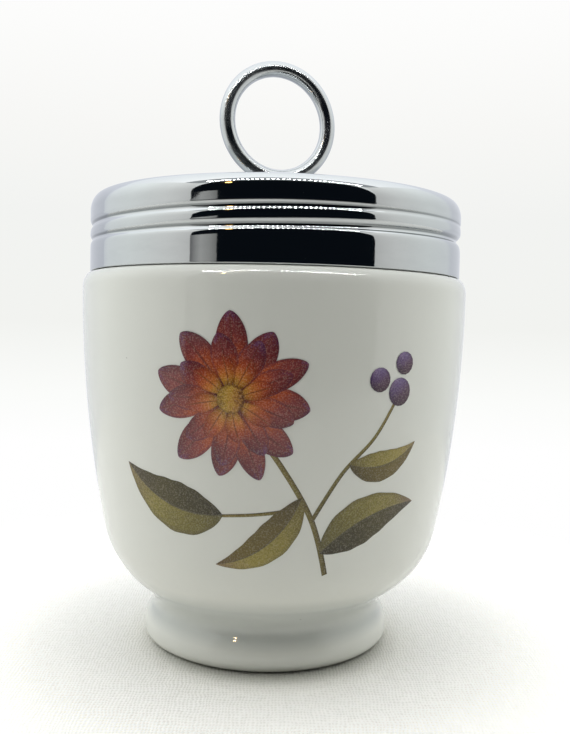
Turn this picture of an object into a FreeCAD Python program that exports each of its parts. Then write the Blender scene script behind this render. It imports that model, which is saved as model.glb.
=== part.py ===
"""Porcelain egg coddler with a screwed metal lid and a lifting ring.

Millimetres, +Z up, origin at the middle of the foot's standing face. The ring stands upright and is
turned a little about Z, out of the XZ plane.
"""
import FreeCAD, Part
import math
import os

V = FreeCAD.Vector
UP = V(0, 0, 1)
ORIGIN = V(0, 0, 0)

# ---------------------------------------------------------------- driving dimensions
# Porcelain cup, outside
belly_overhang = 1.15          # belly beyond the lid's side, just below the shoulder
shoulder_height = 62.2         # ledge that the lid's rim hangs over
shoulder_round = 2.5
side_bulge_radius = 205.0      # long gentle arc of the bowl's side
lower_corner_radius = 15.1     # arc that turns the side in under the bowl
underside_height = 7.4         # level where that arc would be flat
waist_radius = 19.5            # where the bowl meets the foot
waist_fillet = 1.2
foot_radius = 21.3             # widest of the flared foot
foot_edge_round = 1.3
foot_ring_width = 4.2          # standing ring under the foot
foot_recess_depth = 4.0

# Porcelain cup, inside
neck_wall = 3.2
well_corner_radius = 14.0      # round between the bore and the floor
base_thickness = 5.2
lip_round = 1.3

# Metal lid
lid_radius = 32.0
lid_wall = 0.6
lid_side_height = 10.9         # from the rim to the start of the top corner
lid_corner_round = 1.6
dome_radius = 144.0
seat_radius = 5.0              # flat spot at the crown, under the ring's collar

# Screw thread, shared by the lid's rolled groove and the cup's moulded ridge
thread_pitch = 2.5
thread_start_deg = -180.0      # 0 is +X, turning towards +Y
thread_end_deg = 360.0
thread_fade_deg = 45.0         # run-in and run-out
groove_start_height = 4.9      # middle of the groove above the lid's rim, at its start
groove_depth = 0.6
groove_floor_width = 0.5
groove_mouth_width = 1.3
cup_thread_crest_width = 0.4
cup_thread_root_width = 1.2
ridge_extra_width = 0.48       # rolled sheet: the ridge inside is wider than the groove outside

# Lifting ring and its stud
ring_outer_radius = 10.8
ring_wire_radius = 1.43
ring_turn_deg = 20.0           # about Z, from the XZ plane
ring_lift = 0.35               # gap between the crown and the ring's lowest point
collar_radius = 3.4
collar_height = 1.7
collar_edge_round = 0.5
shank_radius = 2.0
washer_radius = 5.0
washer_thickness = 0.8
peened_head_radius = 3.1
peened_head_height = 1.0
peened_head_round = 0.6

# Clearances
rim_clearance = 0.4            # lid's rim above the shoulder
lip_clearance = 0.3            # cup's lip below the lid's top
thread_clearance = 0.3         # radial, thread tip to the wall it faces
swivel_clearance = 0.06        # radial, shank in the lid's hole and in the washer
swivel_play = 0.05             # axial, collar, lid, washer and peened head
braze_gap = 0.02               # ring in its saddle

# ---------------------------------------------------------------- levels and radii that follow
belly_radius = lid_radius + belly_overhang
rim_level = shoulder_height + rim_clearance
side_top_level = rim_level + lid_side_height
dome_centre_level = side_top_level - math.sqrt(
    (dome_radius - lid_corner_round) ** 2 - (lid_radius - lid_corner_round) ** 2)
lid_bore_radius = lid_radius - lid_wall
ridge_tip_radius = lid_bore_radius - groove_depth
neck_radius = ridge_tip_radius - thread_clearance
cup_thread_tip_radius = lid_bore_radius - thread_clearance
well_radius = neck_radius - neck_wall
well_floor_level = foot_recess_depth + base_thickness
shank_hole_radius = shank_radius + swivel_clearance


def dome_level(radius, depth=0.0):
    """Height of the dome at a radius; depth moves in from its outer face."""
    return dome_centre_level + math.sqrt((dome_radius - depth) ** 2 - radius ** 2)


seat_level = dome_level(seat_radius)
seat_underside_level = dome_level(seat_radius, lid_wall)
lip_level = dome_level(neck_radius, lid_wall) - lip_clearance
ring_centre_level = seat_level + ring_lift + ring_outer_radius
groove_start_level = rim_level + groove_start_height


# ---------------------------------------------------------------- helpers
def point(radius, level, degrees=0.0):
    """Point at a radius, a level and an angle about the axis."""
    angle = math.radians(degrees)
    return V(radius * math.cos(angle), radius * math.sin(angle), level)


def line(start, end):
    """Straight edge between two points."""
    return Part.LineSegment(start, end).toShape()


def arc(centre, radius, from_deg, to_deg):
    """Arc in the XZ plane about a centre given as (radius, level); angles from +X towards +Z."""
    angles = [math.radians(a) for a in (from_deg, (from_deg + to_deg) / 2.0, to_deg)]
    points = [V(centre[0] + radius * math.cos(a), 0, centre[1] + radius * math.sin(a)) for a in angles]
    return Part.Arc(*points).toShape()


def end_of(edge):
    """Last point of an edge."""
    return edge.valueAt(edge.LastParameter)


def start_of(edge):
    """First point of an edge."""
    return edge.valueAt(edge.FirstParameter)


def closed_profile(pieces):
    """Wire through edges and points in turn, joined by straight edges where they don't touch."""
    edges = []
    ends = []
    for piece in pieces:
        is_point = isinstance(piece, FreeCAD.Vector)
        first = piece if is_point else start_of(piece)
        last = piece if is_point else end_of(piece)
        if ends and ends[-1].distanceToPoint(first) > 1e-6:
            edges.append(line(ends[-1], first))
        if not is_point:
            edges.append(piece)
        ends.append(last)
    first = pieces[0] if isinstance(pieces[0], FreeCAD.Vector) else start_of(pieces[0])
    if ends[-1].distanceToPoint(first) > 1e-6:
        edges.append(line(ends[-1], first))
    return Part.Wire(edges)


def turned(pieces):
    """Solid of revolution about Z from a profile in the XZ plane."""
    return Part.Face(closed_profile(pieces)).revolve(ORIGIN, UP, 360)


def smooth_step(share):
    """0 to 1 with level ends."""
    share = min(1.0, max(0.0, share))
    return share * share * (3.0 - 2.0 * share)


def thread_band(surface_radius, start_level, section, sink):
    """Solid that follows the thread round the axis.

    section lists (offset from the surface, half width) from one side of the band's thickness to
    the other. At both ends the band moves by sink, so that its tip runs out through the surface.
    """
    step_deg = 12.0
    steps = int(math.ceil((thread_end_deg - thread_start_deg) / step_deg))
    spine_points = []
    for index in range(steps + 1):
        degrees = thread_start_deg + (thread_end_deg - thread_start_deg) * index / steps
        from_end = min(degrees - thread_start_deg, thread_end_deg - degrees)
        radius = surface_radius + sink * (1.0 - smooth_step(from_end / thread_fade_deg))
        level = start_level + thread_pitch * (degrees - thread_start_deg) / 360.0
        spine_points.append(point(radius, level, degrees))
    curve = Part.BSplineCurve()
    curve.interpolate(spine_points)
    start_radius = surface_radius + sink
    corners = [point(start_radius + offset, start_level + half, thread_start_deg)
               for offset, half in section]
    corners += [point(start_radius + offset, start_level - half, thread_start_deg)
                for offset, half in reversed(section)]
    shell = Part.BRepOffsetAPI.MakePipeShell(Part.Wire([curve.toShape()]))
    shell.setBiNormalMode(UP)
    shell.add(Part.makePolygon(corners + corners[:1]), False, False)
    shell.build()
    shell.makeSolid()
    band = shell.shape()
    if band.Volume < 0:
        band.reverse()
    return band


# ---------------------------------------------------------------- cup
def bowl_side():
    """Outer edges from the shoulder's top to the waist, and the waist's level."""
    side_start_level = shoulder_height - shoulder_round
    side_centre = (belly_radius - side_bulge_radius, side_start_level)
    corner_centre_level = underside_height + lower_corner_radius
    reach = side_bulge_radius - lower_corner_radius
    drop = side_start_level - corner_centre_level
    corner_centre = (side_centre[0] + math.sqrt(reach ** 2 - drop ** 2), corner_centre_level)
    turn_deg = -math.degrees(math.asin(drop / reach))
    waist_deg = -math.degrees(math.acos((waist_radius - corner_centre[0]) / lower_corner_radius))
    shoulder = arc((belly_radius - shoulder_round, side_start_level), shoulder_round, 90, 0)
    side = arc(side_centre, side_bulge_radius, 0, turn_deg)
    corner = arc(corner_centre, lower_corner_radius, turn_deg, waist_deg)
    return [shoulder, side, corner], end_of(corner).z


def foot_side(waist_level):
    """Outer edges of the flared foot, from the waist to the standing face."""
    rise = waist_level - foot_edge_round
    flare = foot_radius - waist_radius
    flare_radius = (rise ** 2 + flare ** 2) / (2.0 * flare)
    flare_centre = (foot_radius - flare_radius, foot_edge_round)
    flare_deg = math.degrees(math.asin(rise / flare_radius))
    return [arc(flare_centre, flare_radius, flare_deg, 0),
            arc((foot_radius - foot_edge_round, foot_edge_round), foot_edge_round, 0, -90)]


def make_cup():
    """One-piece porcelain: foot, bowl, shoulder and threaded neck."""
    side, waist_level = bowl_side()
    recess_radius = foot_radius - foot_edge_round - foot_ring_width
    recess_round = min(foot_edge_round, foot_recess_depth / 2.0)
    body = turned([
        arc((neck_radius - lip_round, lip_level - lip_round), lip_round, 90, 0),
        point(neck_radius, shoulder_height), *side, *foot_side(waist_level),
        point(recess_radius + recess_round, 0),
        arc((recess_radius + recess_round, recess_round), recess_round, -90, -180),
        arc((recess_radius - recess_round, foot_recess_depth - recess_round), recess_round, 0, 90),
        point(0, foot_recess_depth), point(0, well_floor_level),
        arc((well_radius - well_corner_radius, well_floor_level + well_corner_radius),
            well_corner_radius, -90, 0),
        arc((well_radius + lip_round, lip_level - lip_round), lip_round, 180, 90),
    ])
    waist_edges = [e for e in body.Edges if e.Length > 1 and abs(e.BoundBox.ZMin - waist_level) < 1e-4
                   and abs(e.BoundBox.ZMax - waist_level) < 1e-4]
    body = body.makeFillet(waist_fillet, waist_edges)
    thread_height = cup_thread_tip_radius - neck_radius
    root_depth = neck_wall / 4.0
    slope = (cup_thread_root_width - cup_thread_crest_width) / 2.0 / thread_height
    thread = thread_band(
        neck_radius, groove_start_level + thread_pitch / 2.0,
        [(-root_depth, cup_thread_root_width / 2.0 + slope * root_depth),
         (thread_height, cup_thread_crest_width / 2.0)],
        -(thread_height + root_depth / 4.0))
    return body.fuse(thread)


# ---------------------------------------------------------------- lid
def cap_solid(depth, bottom_level):
    """Solid inside the lid's outer face moved in by depth, down to a level."""
    side_radius = lid_radius - depth
    corner = max(lid_corner_round - depth, lid_wall / 4.0)
    reach = dome_radius - depth - corner
    run = side_radius - corner
    corner_level = dome_centre_level + math.sqrt(reach ** 2 - run ** 2)
    turn_deg = math.degrees(math.acos(run / reach))
    crown_deg = math.degrees(math.acos(seat_radius / (dome_radius - depth)))
    return turned([
        point(0, bottom_level), point(side_radius, bottom_level),
        arc((run, corner_level), corner, 0, turn_deg),
        arc((0, dome_centre_level), dome_radius - depth, turn_deg, crown_deg),
        point(0, dome_level(seat_radius, depth)),
    ])


def groove_band(depth, extra_width):
    """Trapezoid band of the rolled thread, on the lid's face moved in by depth."""
    floor_half = (groove_floor_width + extra_width) / 2.0
    mouth_half = (groove_mouth_width + extra_width) / 2.0
    slope = (mouth_half - floor_half) / groove_depth
    overrun = lid_wall / 2.0
    return thread_band(
        lid_radius - depth, groove_start_level,
        [(-groove_depth, floor_half), (overrun, mouth_half + slope * overrun)],
        groove_depth + overrun / 2.0)


def make_lid_shell():
    """Pressed cap with the rolled thread showing outside as a groove and inside as a ridge."""
    outside = cap_solid(0, rim_level).cut(groove_band(0, 0))
    inside = cap_solid(lid_wall, rim_level - lid_wall).cut(groove_band(lid_wall, ridge_extra_width))
    hole_depth = 4.0 * lid_wall
    hole = Part.makeCylinder(shank_hole_radius, hole_depth, V(0, 0, seat_level - hole_depth / 2.0))
    return outside.cut(inside).cut(hole)


# ---------------------------------------------------------------- ring, stud and washer
def ring_torus(wire_radius):
    """Closed round-wire ring, upright, its hole's axis turned about Z from the Y axis."""
    turn = math.radians(ring_turn_deg)
    return Part.makeTorus(ring_outer_radius - ring_wire_radius, wire_radius,
                          V(0, 0, ring_centre_level), V(-math.sin(turn), math.cos(turn), 0))


def make_ring_stud():
    """Saddle collar, shank and peened head, turned in one piece."""
    collar_base = seat_level + swivel_play
    collar_top = collar_base + collar_height
    washer_top = seat_underside_level - swivel_play
    head_top = washer_top - washer_thickness - swivel_play
    head_round = min(peened_head_round, peened_head_height * 0.9)
    stud = turned([
        point(0, collar_top),
        arc((collar_radius - collar_edge_round, collar_top - collar_edge_round), collar_edge_round, 90, 0),
        point(collar_radius, collar_base), point(shank_radius, collar_base),
        point(shank_radius, head_top), point(peened_head_radius, head_top),
        arc((peened_head_radius - head_round, head_top - peened_head_height + head_round),
            head_round, 0, -90),
        point(0, head_top - peened_head_height),
    ])
    return stud.cut(ring_torus(ring_wire_radius + braze_gap))


def make_stud_washer():
    """Backing washer between the lid's sheet and the peened head."""
    top = seat_underside_level - swivel_play
    washer = Part.makeCylinder(washer_radius, washer_thickness, V(0, 0, top - washer_thickness))
    bore = Part.makeCylinder(shank_hole_radius, washer_thickness * 3, V(0, 0, top - washer_thickness * 2))
    return washer.cut(bore)


def main():
    """Make each node and write it as a STEP file of its own."""
    os.makedirs("parts", exist_ok=True)
    nodes = {
        "cup": make_cup(),
        "lid_shell": make_lid_shell(),
        "lifting_ring": ring_torus(ring_wire_radius),
        "ring_stud": make_ring_stud(),
        "stud_washer": make_stud_washer(),
    }
    for name, shape in nodes.items():
        box = shape.BoundBox
        print(f"{name}: valid {shape.isValid()}, solids {len(shape.Solids)}, volume {shape.Volume:.1f},"
              f" z {box.ZMin:.3f} to {box.ZMax:.3f}, x {box.XMin:.3f} to {box.XMax:.3f}")
        shape.exportStep(f"parts/{name}.step")


main()
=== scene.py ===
"""Porcelain egg coddler: glazed cup with a printed spray, chromed screw lid and lifting ring.

Every mesh is in metres in the CAD's own frame: +Z up, the foot on z = 0, the decorated front at -Y.
Sizes are written in millimetres and turned to metres where a mesh is made.
"""
import logging
import math
import random
from dataclasses import dataclass, field
from enum import Enum
from typing import Callable, Iterator, Sequence

import bmesh
import bpy
import numpy as np
from mathutils import Matrix, Vector

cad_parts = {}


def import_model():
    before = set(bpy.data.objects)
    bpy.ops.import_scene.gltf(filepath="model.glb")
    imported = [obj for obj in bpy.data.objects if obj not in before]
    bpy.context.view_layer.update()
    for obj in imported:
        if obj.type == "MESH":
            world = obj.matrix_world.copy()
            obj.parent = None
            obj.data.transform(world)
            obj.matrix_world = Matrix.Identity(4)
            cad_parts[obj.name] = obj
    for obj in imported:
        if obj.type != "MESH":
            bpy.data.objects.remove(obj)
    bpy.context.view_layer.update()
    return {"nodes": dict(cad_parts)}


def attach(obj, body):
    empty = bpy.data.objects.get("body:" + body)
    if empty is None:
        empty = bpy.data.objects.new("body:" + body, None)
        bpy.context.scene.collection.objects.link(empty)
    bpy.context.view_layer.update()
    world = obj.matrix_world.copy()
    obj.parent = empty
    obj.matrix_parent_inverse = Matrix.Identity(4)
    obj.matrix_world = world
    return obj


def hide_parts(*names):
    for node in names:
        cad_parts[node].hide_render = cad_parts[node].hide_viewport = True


MM = 0.001
LOG = logging.getLogger("coddler")
WHITE = "#FFFFFF"
GLAZE_IOR = 1.52
WELD_MM = 0.002
ON_WALL_MM = 0.01
LAPS_DEG = (-360.0, 0.0, 360.0)

Point2 = tuple[float, float]
Point3 = tuple[float, float, float]
Stops = Sequence[tuple[float, str]]
Socket = bpy.types.NodeSocket
Tree = bpy.types.NodeTree


# ------------------------------------------------------------------ colours and nodes
def srgb(code: str) -> tuple[float, float, float, float]:
    """Linear colour of an sRGB hex code.

    Args:
        code: Six hex digits after a #.

    Returns:
        Linear red, green and blue, and an alpha of 1.
    """
    values = [int(code[i:i + 2], 16) / 255.0 for i in (1, 3, 5)]
    linear = [v / 12.92 if v <= 0.04045 else ((v + 0.055) / 1.055) ** 2.4 for v in values]
    return (linear[0], linear[1], linear[2], 1.0)


def add_node(tree: Tree, kind: str, settings: dict) -> bpy.types.Node:
    """Add a node with its settings and links.

    Args:
        tree: Node tree that the node goes into.
        kind: Blender's name of the node type, without the leading ShaderNode.
        settings: Values by name or index. "stops" holds the positions and hex colours of a colour ramp,
            and a name that is one of the node's own properties is set there. Any other is an input: a
            node's first output or a socket is linked to it, a hex colour is made linear, and anything
            else is its value.

    Returns:
        The new node.
    """
    node = tree.nodes.new("ShaderNode" + kind)
    for key, value in settings.items():
        if key == "stops":
            elements = node.color_ramp.elements
            for _ in range(len(value) - len(elements)):
                elements.new(1.0)
            for element, (position, code) in zip(elements, value):
                element.position = position
                element.color = srgb(code)
        elif isinstance(value, (bpy.types.Node, Socket)):
            socket = value if isinstance(value, Socket) else value.outputs[0]
            tree.links.new(socket, node.inputs[key])
        elif isinstance(key, str) and hasattr(node, key) and key not in node.inputs:
            setattr(node, key, value)
        else:
            is_code = isinstance(value, str) and value.startswith("#")
            node.inputs[key].default_value = srgb(value) if is_code else value
    return node


def new_tree(name: str) -> tuple[bpy.types.Material, Tree, Socket]:
    """Make a node material with nothing in it yet but its coordinates.

    Args:
        name: The finish's name.

    Returns:
        The material, its node tree and the object coordinates.
    """
    material = bpy.data.materials.new(name)
    material.use_nodes = True
    tree = material.node_tree
    tree.nodes.clear()
    return material, tree, add_node(tree, "TexCoord", {}).outputs["Object"]


# ------------------------------------------------------------------ finishes
@dataclass(frozen=True)
class GlazedPorcelain:
    """Hard-paste porcelain, cast, glazed and fired.

    It gives a cool to faintly warm white, a glass-clear gloss, very soft waves in the glaze and a few
    pin-sized specks, with painted shade, a cooler and darker tone, in the hollow above the foot.
    """

    name: str = "glazed_porcelain"
    body: str = "#E2E3DB"
    roughness: float = 0.035
    speck: str = "#8E8B80"
    speck_spacing_mm: float = 5.2
    speck_size_mm: float = 0.13
    speck_rarity: float = 0.72
    speck_depth: float = 0.5
    # Painted shade in the hollow above the foot: its tint, the levels it spans, and where it is whole.
    hollow_shade: str = "#EBEDEF"
    hollow_shade_span_mm: tuple[float, float] = (3.2, 12.8)
    hollow_shade_core: tuple[float, float] = (0.18, 0.72)
    wave_size_mm: float = 9.0
    wave_height_mm: float = 0.03
    wave_strength: float = 0.08

    def build(self) -> bpy.types.Material:
        """Make the material.

        Returns:
            The material.
        """
        material, tree, place = new_tree(self.name)
        specks = add_node(tree, "TexVoronoi", {"Vector": place, "Randomness": 1.0,
                                               "Scale": 1.0 / (self.speck_spacing_mm * MM)})
        near = add_node(tree, "Math", {"operation": "LESS_THAN", 0: specks.outputs["Distance"],
                                       1: self.speck_size_mm / self.speck_spacing_mm})
        pick = add_node(tree, "SeparateColor", {"Color": specks.outputs["Color"]})
        some = add_node(tree, "Math", {"operation": "GREATER_THAN", 0: pick.outputs["Red"],
                                       1: self.speck_rarity})
        share = add_node(tree, "Math", {"operation": "MULTIPLY", 0: near, 1: some})
        share = add_node(tree, "Math", {"operation": "MULTIPLY", 0: share, 1: self.speck_depth})
        specked = add_node(tree, "Mix", {"data_type": "RGBA", 0: share, 6: self.body, 7: self.speck})
        axes = add_node(tree, "SeparateXYZ", {"Vector": place})
        # Painted shade: a cooler, darker tone multiplied in over the hollow between the bowl and the foot.
        low, high = self.hollow_shade_span_mm
        level = add_node(tree, "MapRange", {"Value": axes.outputs["Z"], "From Min": low * MM,
                                            "From Max": high * MM})
        core = [(at, self.hollow_shade) for at in self.hollow_shade_core]
        hollow_shaded = add_node(tree, "ValToRGB", {"Fac": level, "stops": [(0.0, WHITE), *core, (1.0, WHITE)]})
        colour = add_node(tree, "Mix", {"data_type": "RGBA", "blend_type": "MULTIPLY", 0: 1.0,
                                        6: specked.outputs[2], 7: hollow_shaded})
        waves = add_node(tree, "TexNoise", {"Vector": place, "Scale": 1.0 / (self.wave_size_mm * MM),
                                            "Detail": 1.0, "Roughness": 0.4})
        bump = add_node(tree, "Bump", {"Height": waves, "Strength": self.wave_strength,
                                       "Distance": self.wave_height_mm * MM})
        shader = add_node(tree, "BsdfPrincipled", {"Base Color": colour.outputs[2], "Normal": bump,
                                                   "Roughness": self.roughness, "IOR": GLAZE_IOR})
        add_node(tree, "OutputMaterial", {"Surface": shader})
        return material


@dataclass(frozen=True)
class PolishedChrome:
    """Decorative chromium over polished nickel and brass.

    It gives a neutral, slightly blue mirror, a faint orange peel from the pressed sheet, and hairline
    scratches from washing.
    """

    name: str
    tint: str = "#C1C4C5"
    roughness: float = 0.03
    peel_size_mm: float = 1.1
    peel_height_mm: float = 0.0018
    grit_size_mm: float = 0.28
    grit_height_mm: float = 0.0003
    smear: float = 0.10
    smear_tint: str = "#8E9294"
    smear_scale: Point3 = (140.0, 140.0, 520.0)
    smear_range: tuple[float, float] = (0.45, 0.75)
    # Painted shade in the groove's valley: its greatest share and its darker tint.
    groove_shade: float = 0.85
    groove_shade_tint: str = "#787C7D"
    scratch: float = 0.5
    scratch_depth_mm: float = 0.0006
    scratch_turn: Point3 = (0.5, 0.9, 0.3)
    scratch_scale: Point3 = (1800.0, 130.0, 160.0)
    scratch_range: tuple[float, float] = (0.62, 0.70)
    haze_scale: float = 260.0
    haze_range: tuple[float, float] = (0.35, 0.75)
    haze_gain: float = 2.2

    def colour(self, tree: Tree, place: Socket) -> Socket:
        """Tint the chrome: smears all over, and painted shade in the groove's valley, where the valley
        attribute says.

        Args:
            tree: Node tree.
            place: Object coordinates.

        Returns:
            The colour's socket.
        """
        wiped = add_node(tree, "Mapping", {"Vector": place, "Scale": self.smear_scale})
        smears = add_node(tree, "TexNoise", {"Vector": wiped, "Scale": 1.0, "Detail": 5.0,
                                             "Roughness": 0.62})
        low, high = self.smear_range
        smeared = add_node(tree, "MapRange", {"Value": smears, "From Min": low, "From Max": high,
                                              "To Min": 0.0, "To Max": self.smear})
        # Painted shade: the lid's valley attribute mixes a darker tint into the groove's valley.
        valley = add_node(tree, "Attribute", {"attribute_name": "valley"})
        groove_shaded = add_node(tree, "Math", {"operation": "MULTIPLY", 0: valley.outputs["Fac"], 1: self.groove_shade})
        tone = add_node(tree, "Mix", {"data_type": "RGBA", 0: smeared, 6: self.tint, 7: self.smear_tint})
        return add_node(tree, "Mix", {"data_type": "RGBA", 0: groove_shaded, 6: tone.outputs[2],
                                      7: self.groove_shade_tint}).outputs[2]

    def relief(self, tree: Tree, place: Socket) -> bpy.types.Node:
        """Bend the normal by the orange peel, the grit and the scratches.

        Args:
            tree: Node tree.
            place: Object coordinates.

        Returns:
            The last bump node.
        """
        normal = {}
        for size, height, detail, roughness in ((self.peel_size_mm, self.peel_height_mm, 3.0, 0.55),
                                                (self.grit_size_mm, self.grit_height_mm, 2.0, 0.6)):
            grains = add_node(tree, "TexNoise", {"Vector": place, "Scale": 1.0 / (size * MM),
                                                 "Detail": detail, "Roughness": roughness})
            normal = {"Normal": add_node(tree, "Bump", {"Height": grains, "Strength": 1.0,
                                                        "Distance": height * MM} | normal)}
        turned = add_node(tree, "Mapping", {"Vector": place, "Rotation": self.scratch_turn,
                                            "Scale": self.scratch_scale})
        lines = add_node(tree, "TexNoise", {"Vector": turned, "Scale": 1.0, "Detail": 2.0,
                                            "Roughness": 0.7})
        low, high = self.scratch_range
        thin = add_node(tree, "MapRange", {"Value": lines, "From Min": low, "From Max": high})
        return add_node(tree, "Bump", {"Height": thin, "Strength": self.scratch, "invert": True,
                                       "Distance": self.scratch_depth_mm * MM} | normal)

    def build(self) -> bpy.types.Material:
        """Make the material.

        Returns:
            The material.
        """
        material, tree, place = new_tree(self.name)
        haze = add_node(tree, "TexNoise", {"Vector": place, "Scale": self.haze_scale, "Detail": 4.0,
                                           "Roughness": 0.6})
        low, high = self.haze_range
        rough = add_node(tree, "MapRange", {"Value": haze, "From Min": low, "From Max": high,
                                            "To Min": self.roughness,
                                            "To Max": self.roughness * self.haze_gain})
        shader = add_node(tree, "BsdfPrincipled", {"Base Color": self.colour(tree, place), "Metallic": 1.0,
                                                   "Roughness": rough, "Normal": self.relief(tree, place)})
        add_node(tree, "OutputMaterial", {"Surface": shader})
        return material


@dataclass(frozen=True)
class TurnedBrass:
    """Plain brass washer, turned and left to dull.

    It gives a warm yellow metal with fine concentric tool marks and brown patches.
    """

    name: str = "turned_brass"
    tones: Stops = ((0.35, "#8C7442"), (0.62, "#C9AE6C"))
    patch_scale: float = 420.0
    roughness: float = 0.34
    mark_spacing_mm: float = 0.25
    mark_depth_mm: float = 0.004
    mark_strength: float = 0.5

    def build(self) -> bpy.types.Material:
        """Make the material.

        Returns:
            The material.
        """
        material, tree, place = new_tree(self.name)
        patch = add_node(tree, "TexNoise", {"Vector": place, "Scale": self.patch_scale, "Detail": 5.0})
        tone = add_node(tree, "ValToRGB", {"Fac": patch, "stops": self.tones})
        rings = add_node(tree, "TexWave", {"Vector": place, "wave_type": "RINGS", "rings_direction": "Z",
                                           "Scale": 1.0 / (self.mark_spacing_mm * MM) / 20.0,
                                           "Distortion": 0.4})
        bump = add_node(tree, "Bump", {"Height": rings.outputs["Fac"], "Strength": self.mark_strength,
                                       "Distance": self.mark_depth_mm * MM})
        shader = add_node(tree, "BsdfPrincipled", {"Base Color": tone, "Metallic": 1.0, "Normal": bump,
                                                   "Roughness": self.roughness})
        add_node(tree, "OutputMaterial", {"Surface": shader})
        return material


class Motif(Enum):
    """Kinds of printed shape in the spray."""

    PETAL = "petal"
    INNER_PETAL = "inner_petal"
    LEAF = "leaf"
    SMALL_LEAF = "small_leaf"
    STEM = "stem"
    BERRY = "berry"
    EYE = "eye"


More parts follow.
